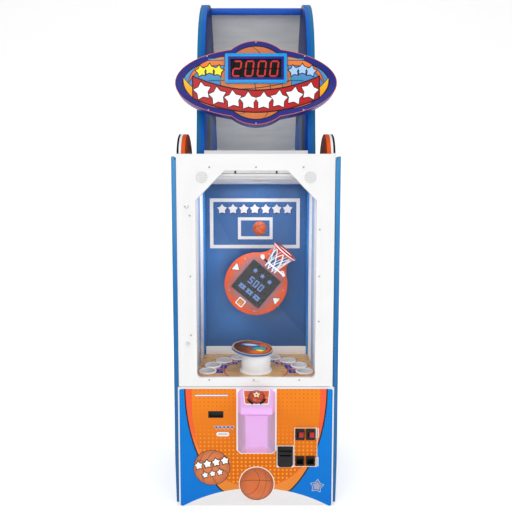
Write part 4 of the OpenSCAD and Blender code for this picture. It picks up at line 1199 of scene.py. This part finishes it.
def net():
    """Knotted cords hung from the underside of the rim."""
    rows, strands, cord, steps = 3, 8, 2.7, 28
    top, low = 1 - RIM_TUBE, -149.0
    narrow, flare, belly = 41, 32, 1.5

    def point(s, t):
        r = narrow + flare * (1 - s) ** 1.7 + belly * math.sin(math.pi * s)
        return hoop.at(r * math.cos(t), top + (low - top) * s, r * math.sin(t))

    bm = bmesh.new()
    pitch = 2 * math.pi / strands
    turn_all = pitch * rows / 2
    for i in range(strands):
        for hand in (-1, 1):
            t0 = i * pitch
            line = [point(k / steps, t0 + hand * turn_all * k / steps) for k in range(steps + 1)]
            tube(bm, line, cord * MM, 6)
    for row in range(rows + 1):
        for i in range(strands):
            t = (i + 0.5 * (row % 2)) * pitch
            knob(bm, point(row / rows, t), cord * 1.7 * MM, 2)
    paint = Paint("net_cord")
    twist = paint.noise(900, 2)
    paint.set(Base_Color=paint.shades(twist, [(0.3, rgb(206, 208, 216)), (0.7, rgb(250, 250, 252))]))
    paint.set(Roughness=paint.span(twist, 0.3, 0.7, 0.7, 0.9), Normal=paint.bump(twist, 0.0004))
    make("net", bm, paint.mat, "wheel", smooth=True, replaces=("hoop_net",))


RIM_R, RIM_TUBE, RIM_UP = 75.0, 13.0, 293.0
HOOP_TIP = math.radians(6)          # the hoop tips towards the player
hoop_reach = (wheel.origin.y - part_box("hoop_rim")[0].y) / MM - RIM_R * math.cos(HOOP_TIP) - RIM_TUBE
towards = wheel.z * math.cos(HOOP_TIP) - wheel.y * math.sin(HOOP_TIP)
hoop = Board(wheel.at(0, RIM_UP, hoop_reach), wheel.x, towards, "wheel")


def glossy_rim():
    """Glossy red enamel with painted shade that darkens its upper side, and a painted highlight as a bright
    line round its outside.
    """
    paint = Paint("rim_enamel")
    up = paint.dot(paint.away(hoop.origin), hoop.y)
    from_line = paint.size(paint.less(up, 0.5 * MM))
    # the bright line round the outside is a painted highlight
    highlight_line = paint.span(from_line, 2.2 * MM, 3.6 * MM, 1, 0)
    # the upper side darkens: painted shade
    shade = paint.span(up, 1 * MM, 12 * MM)
    body = paint.blend(shade, rgb(212, 66, 26), rgb(112, 22, 10))
    colour = paint.blend(highlight_line, body, rgb(250, 222, 226))
    dress("hoop_rim", paint.finish(colour, 0.14, mottle=0.05, Coat_Weight=0.6, Coat_Roughness=0.08))


def sensor_sleeve():
    """The black sleeve near the left end of the sensor bar."""
    up, out, r = 172, 143, 6.2
    bm = bmesh.new()
    for low, high, radius in ((-74, -50, r), (-76, -74, r + 1.6), (-50, -48, r + 1.6)):
        tube(bm, [wheel.at(low, up, out), wheel.at(high, up, out)], radius * MM, 24)
    make("sensor_sleeve", bm, black_plastic, "wheel", smooth=True)


wheel_face()
wheel_matrix()
for k, at in enumerate([(-112, -150), (112, -150), (-168, 84), (168, 84), (-60, 214), (60, 214)]):
    pan_screw(f"wheel_screw_{k}", wheel, at, 4.5, zinc)
glossy_rim()
net()
sensor_sleeve()

# ---------------------------------------------------------------- door fittings


def door_screw_heads():
    """A domed head over each plain one of the door's screws, where the screw's mesh is."""
    groups = {}
    for vertex in nodes["door_screws"].data.vertices:
        place = vertex.co.xz
        key = next((k for k in groups if (groups[k][0] - place).length < 12 * MM), len(groups))
        groups.setdefault(key, []).append(place.copy())
    door = facing_front(front_y, body="upper_door")
    for key, places in groups.items():
        xs, zs = [p.x for p in places], [p.y for p in places]
        middle = ((min(xs) + max(xs)) / 2 / MM, (min(zs) + max(zs)) / 2 / MM)
        pan_screw(f"door_screw_{key:02d}", door, middle, 5.6, zinc, 3.0)


def speaker_cloth():
    """Black cloth behind each pattern of speaker holes."""
    lo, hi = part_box("door_speakers")
    cloth = Paint("speaker_cloth")
    weave = cloth.cells(900)
    blacks = [(0.1, rgb(30, 30, 32)), (0.6, rgb(12, 12, 13))]
    cloth.set(Base_Color=cloth.shades(weave, blacks), Roughness=0.85, Normal=cloth.bump(weave, 0.0002))
    behind = facing_front(lo.y, body="upper_door")
    height = (lo.z + hi.z) / 2 / MM
    reach = (hi.x - lo.x) / 2 / MM - 45
    discs = [[circle(38, (side * reach, height), 48)] for side in (-1, 1)]
    plate("speaker_cloth", behind, discs, -0.4 * MM, -0.1 * MM, cloth.mat)


door_screw_heads()
speaker_cloth()

# ---------------------------------------------------------------- balls


seam_brown = rgb(40, 24, 20)
dress("game_ball", ball_skin("ball_skin", about_point(box_centre("game_ball")), rgb(186, 74, 18), seam_brown,
                             (24, 18, 40), 0.04, pebble=520, depth=0.00035))
# the moulded dome is darkened towards its rim: painted shade
dress("front_dome", ball_skin("dome_skin", on_disc(front, 101, dome_at), rgb(214, 104, 34), seam_brown,
                              (23.5, 0, -34), 0.016, pebble=360, depth=0.0003, shade=0.45,
                              collar=rgb(240, 236, 228)))

# ---------------------------------------------------------------- console


def console_paint():
    """Lilac moulding: pinker on the hood and the front panel, a little lighter on the hood as painted light,
    and greyer on the flanks below the hood as painted shade.
    """
    paint = Paint("console_lilac")
    x, _, z = paint.axes()
    aside = paint.size(paint.less(x, box_centre("console_shell").x))
    # painted shade greys the flanks under the hood
    flank_shade = paint.times(paint.span(aside, 59 * MM, 66 * MM), paint.span(z, 0.590, 0.606, 1, 0))
    # the hood is lighter than the front panel: painted light
    colour = paint.blend(paint.span(z, 0.596, 0.612), rgb(224, 172, 228), rgb(234, 182, 240))
    return paint.finish(paint.blend(flank_shade, colour, rgb(198, 168, 206)), 0.36, mottle=0.02, grain=700,
                        grain_depth=0.00004, Subsurface_Weight=0.06, Subsurface_Scale=0.004)


def play_deck():
    """The console's tilted top: a bordered orange plate and the domed play button with a cream star."""
    out = -Vector(joint("play_button_press")["axis"])
    up = out.cross(Vector((1, 0, 0)))
    button, face = nodes["play_button"].data, nodes["button_plate"].data
    along = [up.dot(v.co) for v in button.vertices]
    rise = max(out.dot(v.co) for v in face.vertices)
    top = max(out.dot(v.co) for v in button.vertices) - rise
    origin = Vector((box_centre("play_button").x, 0, 0)) + up * (min(along) + max(along)) / 2 + out * rise
    deck = Board(origin, (1, 0, 0), out, "cabinet")
    cap = Board(origin + out * (top - 1.1 * MM), (1, 0, 0), out, "play_button")
    cap_r = 43
    hole = circle(cap_r + 0.4, n=72)[::-1]
    border = [(-70, -46), (-62, -52), (62, -52), (70, -46), (80, 44), (76, 50), (-76, 50), (-80, 44)]
    orange = plain("deck_orange", rgb(218, 84, 18), 0.3, mottle=0.06)
    dress("button_plate", print_white, 0.5)
    sheet("deck_print", deck, [[grown(border, -6), hole]], 0, orange)
    sheet("deck_ring", deck, [[circle(47.5), hole]], 1, print_black)
    arcs = []
    for start in (196, 292):
        outer, inner = circle(58, (0, 1), 18, start, start + 52), circle(47, (0, 0), 18, start, start + 52)
        arcs.append([outer + inner[::-1]])
    sheet("deck_arcs", deck, arcs, 2, print_black)
    lines = [[rounded(17, 2.4, 1, (side * 63, -4), 2)] for side in (-1, 1)]
    sheet("deck_lines", deck, lines, 1, plain("deck_cream", rgb(250, 214, 170), 0.3))
    # the domed button is darkened towards its rim: painted shade
    skin = ball_skin("button_skin", on_disc(deck, cap_r), rgb(204, 72, 40), rgb(64, 14, 10),
                     (14, 0, 62), 0.035, pebble=900, depth=0.00002, rough=0.16, shade=0.5)
    dress("play_button", skin, 0.6)
    star_paints = (plain("star_red", rgb(150, 40, 30), 0.2), plain("star_cream", rgb(250, 226, 170), 0.22))
    star_row("button_star", cap, [(0, 0, 0)], (28, 23), star_paints, 0, 0.55)


dress("console_shell", console_paint(), 2.0)
play_deck()
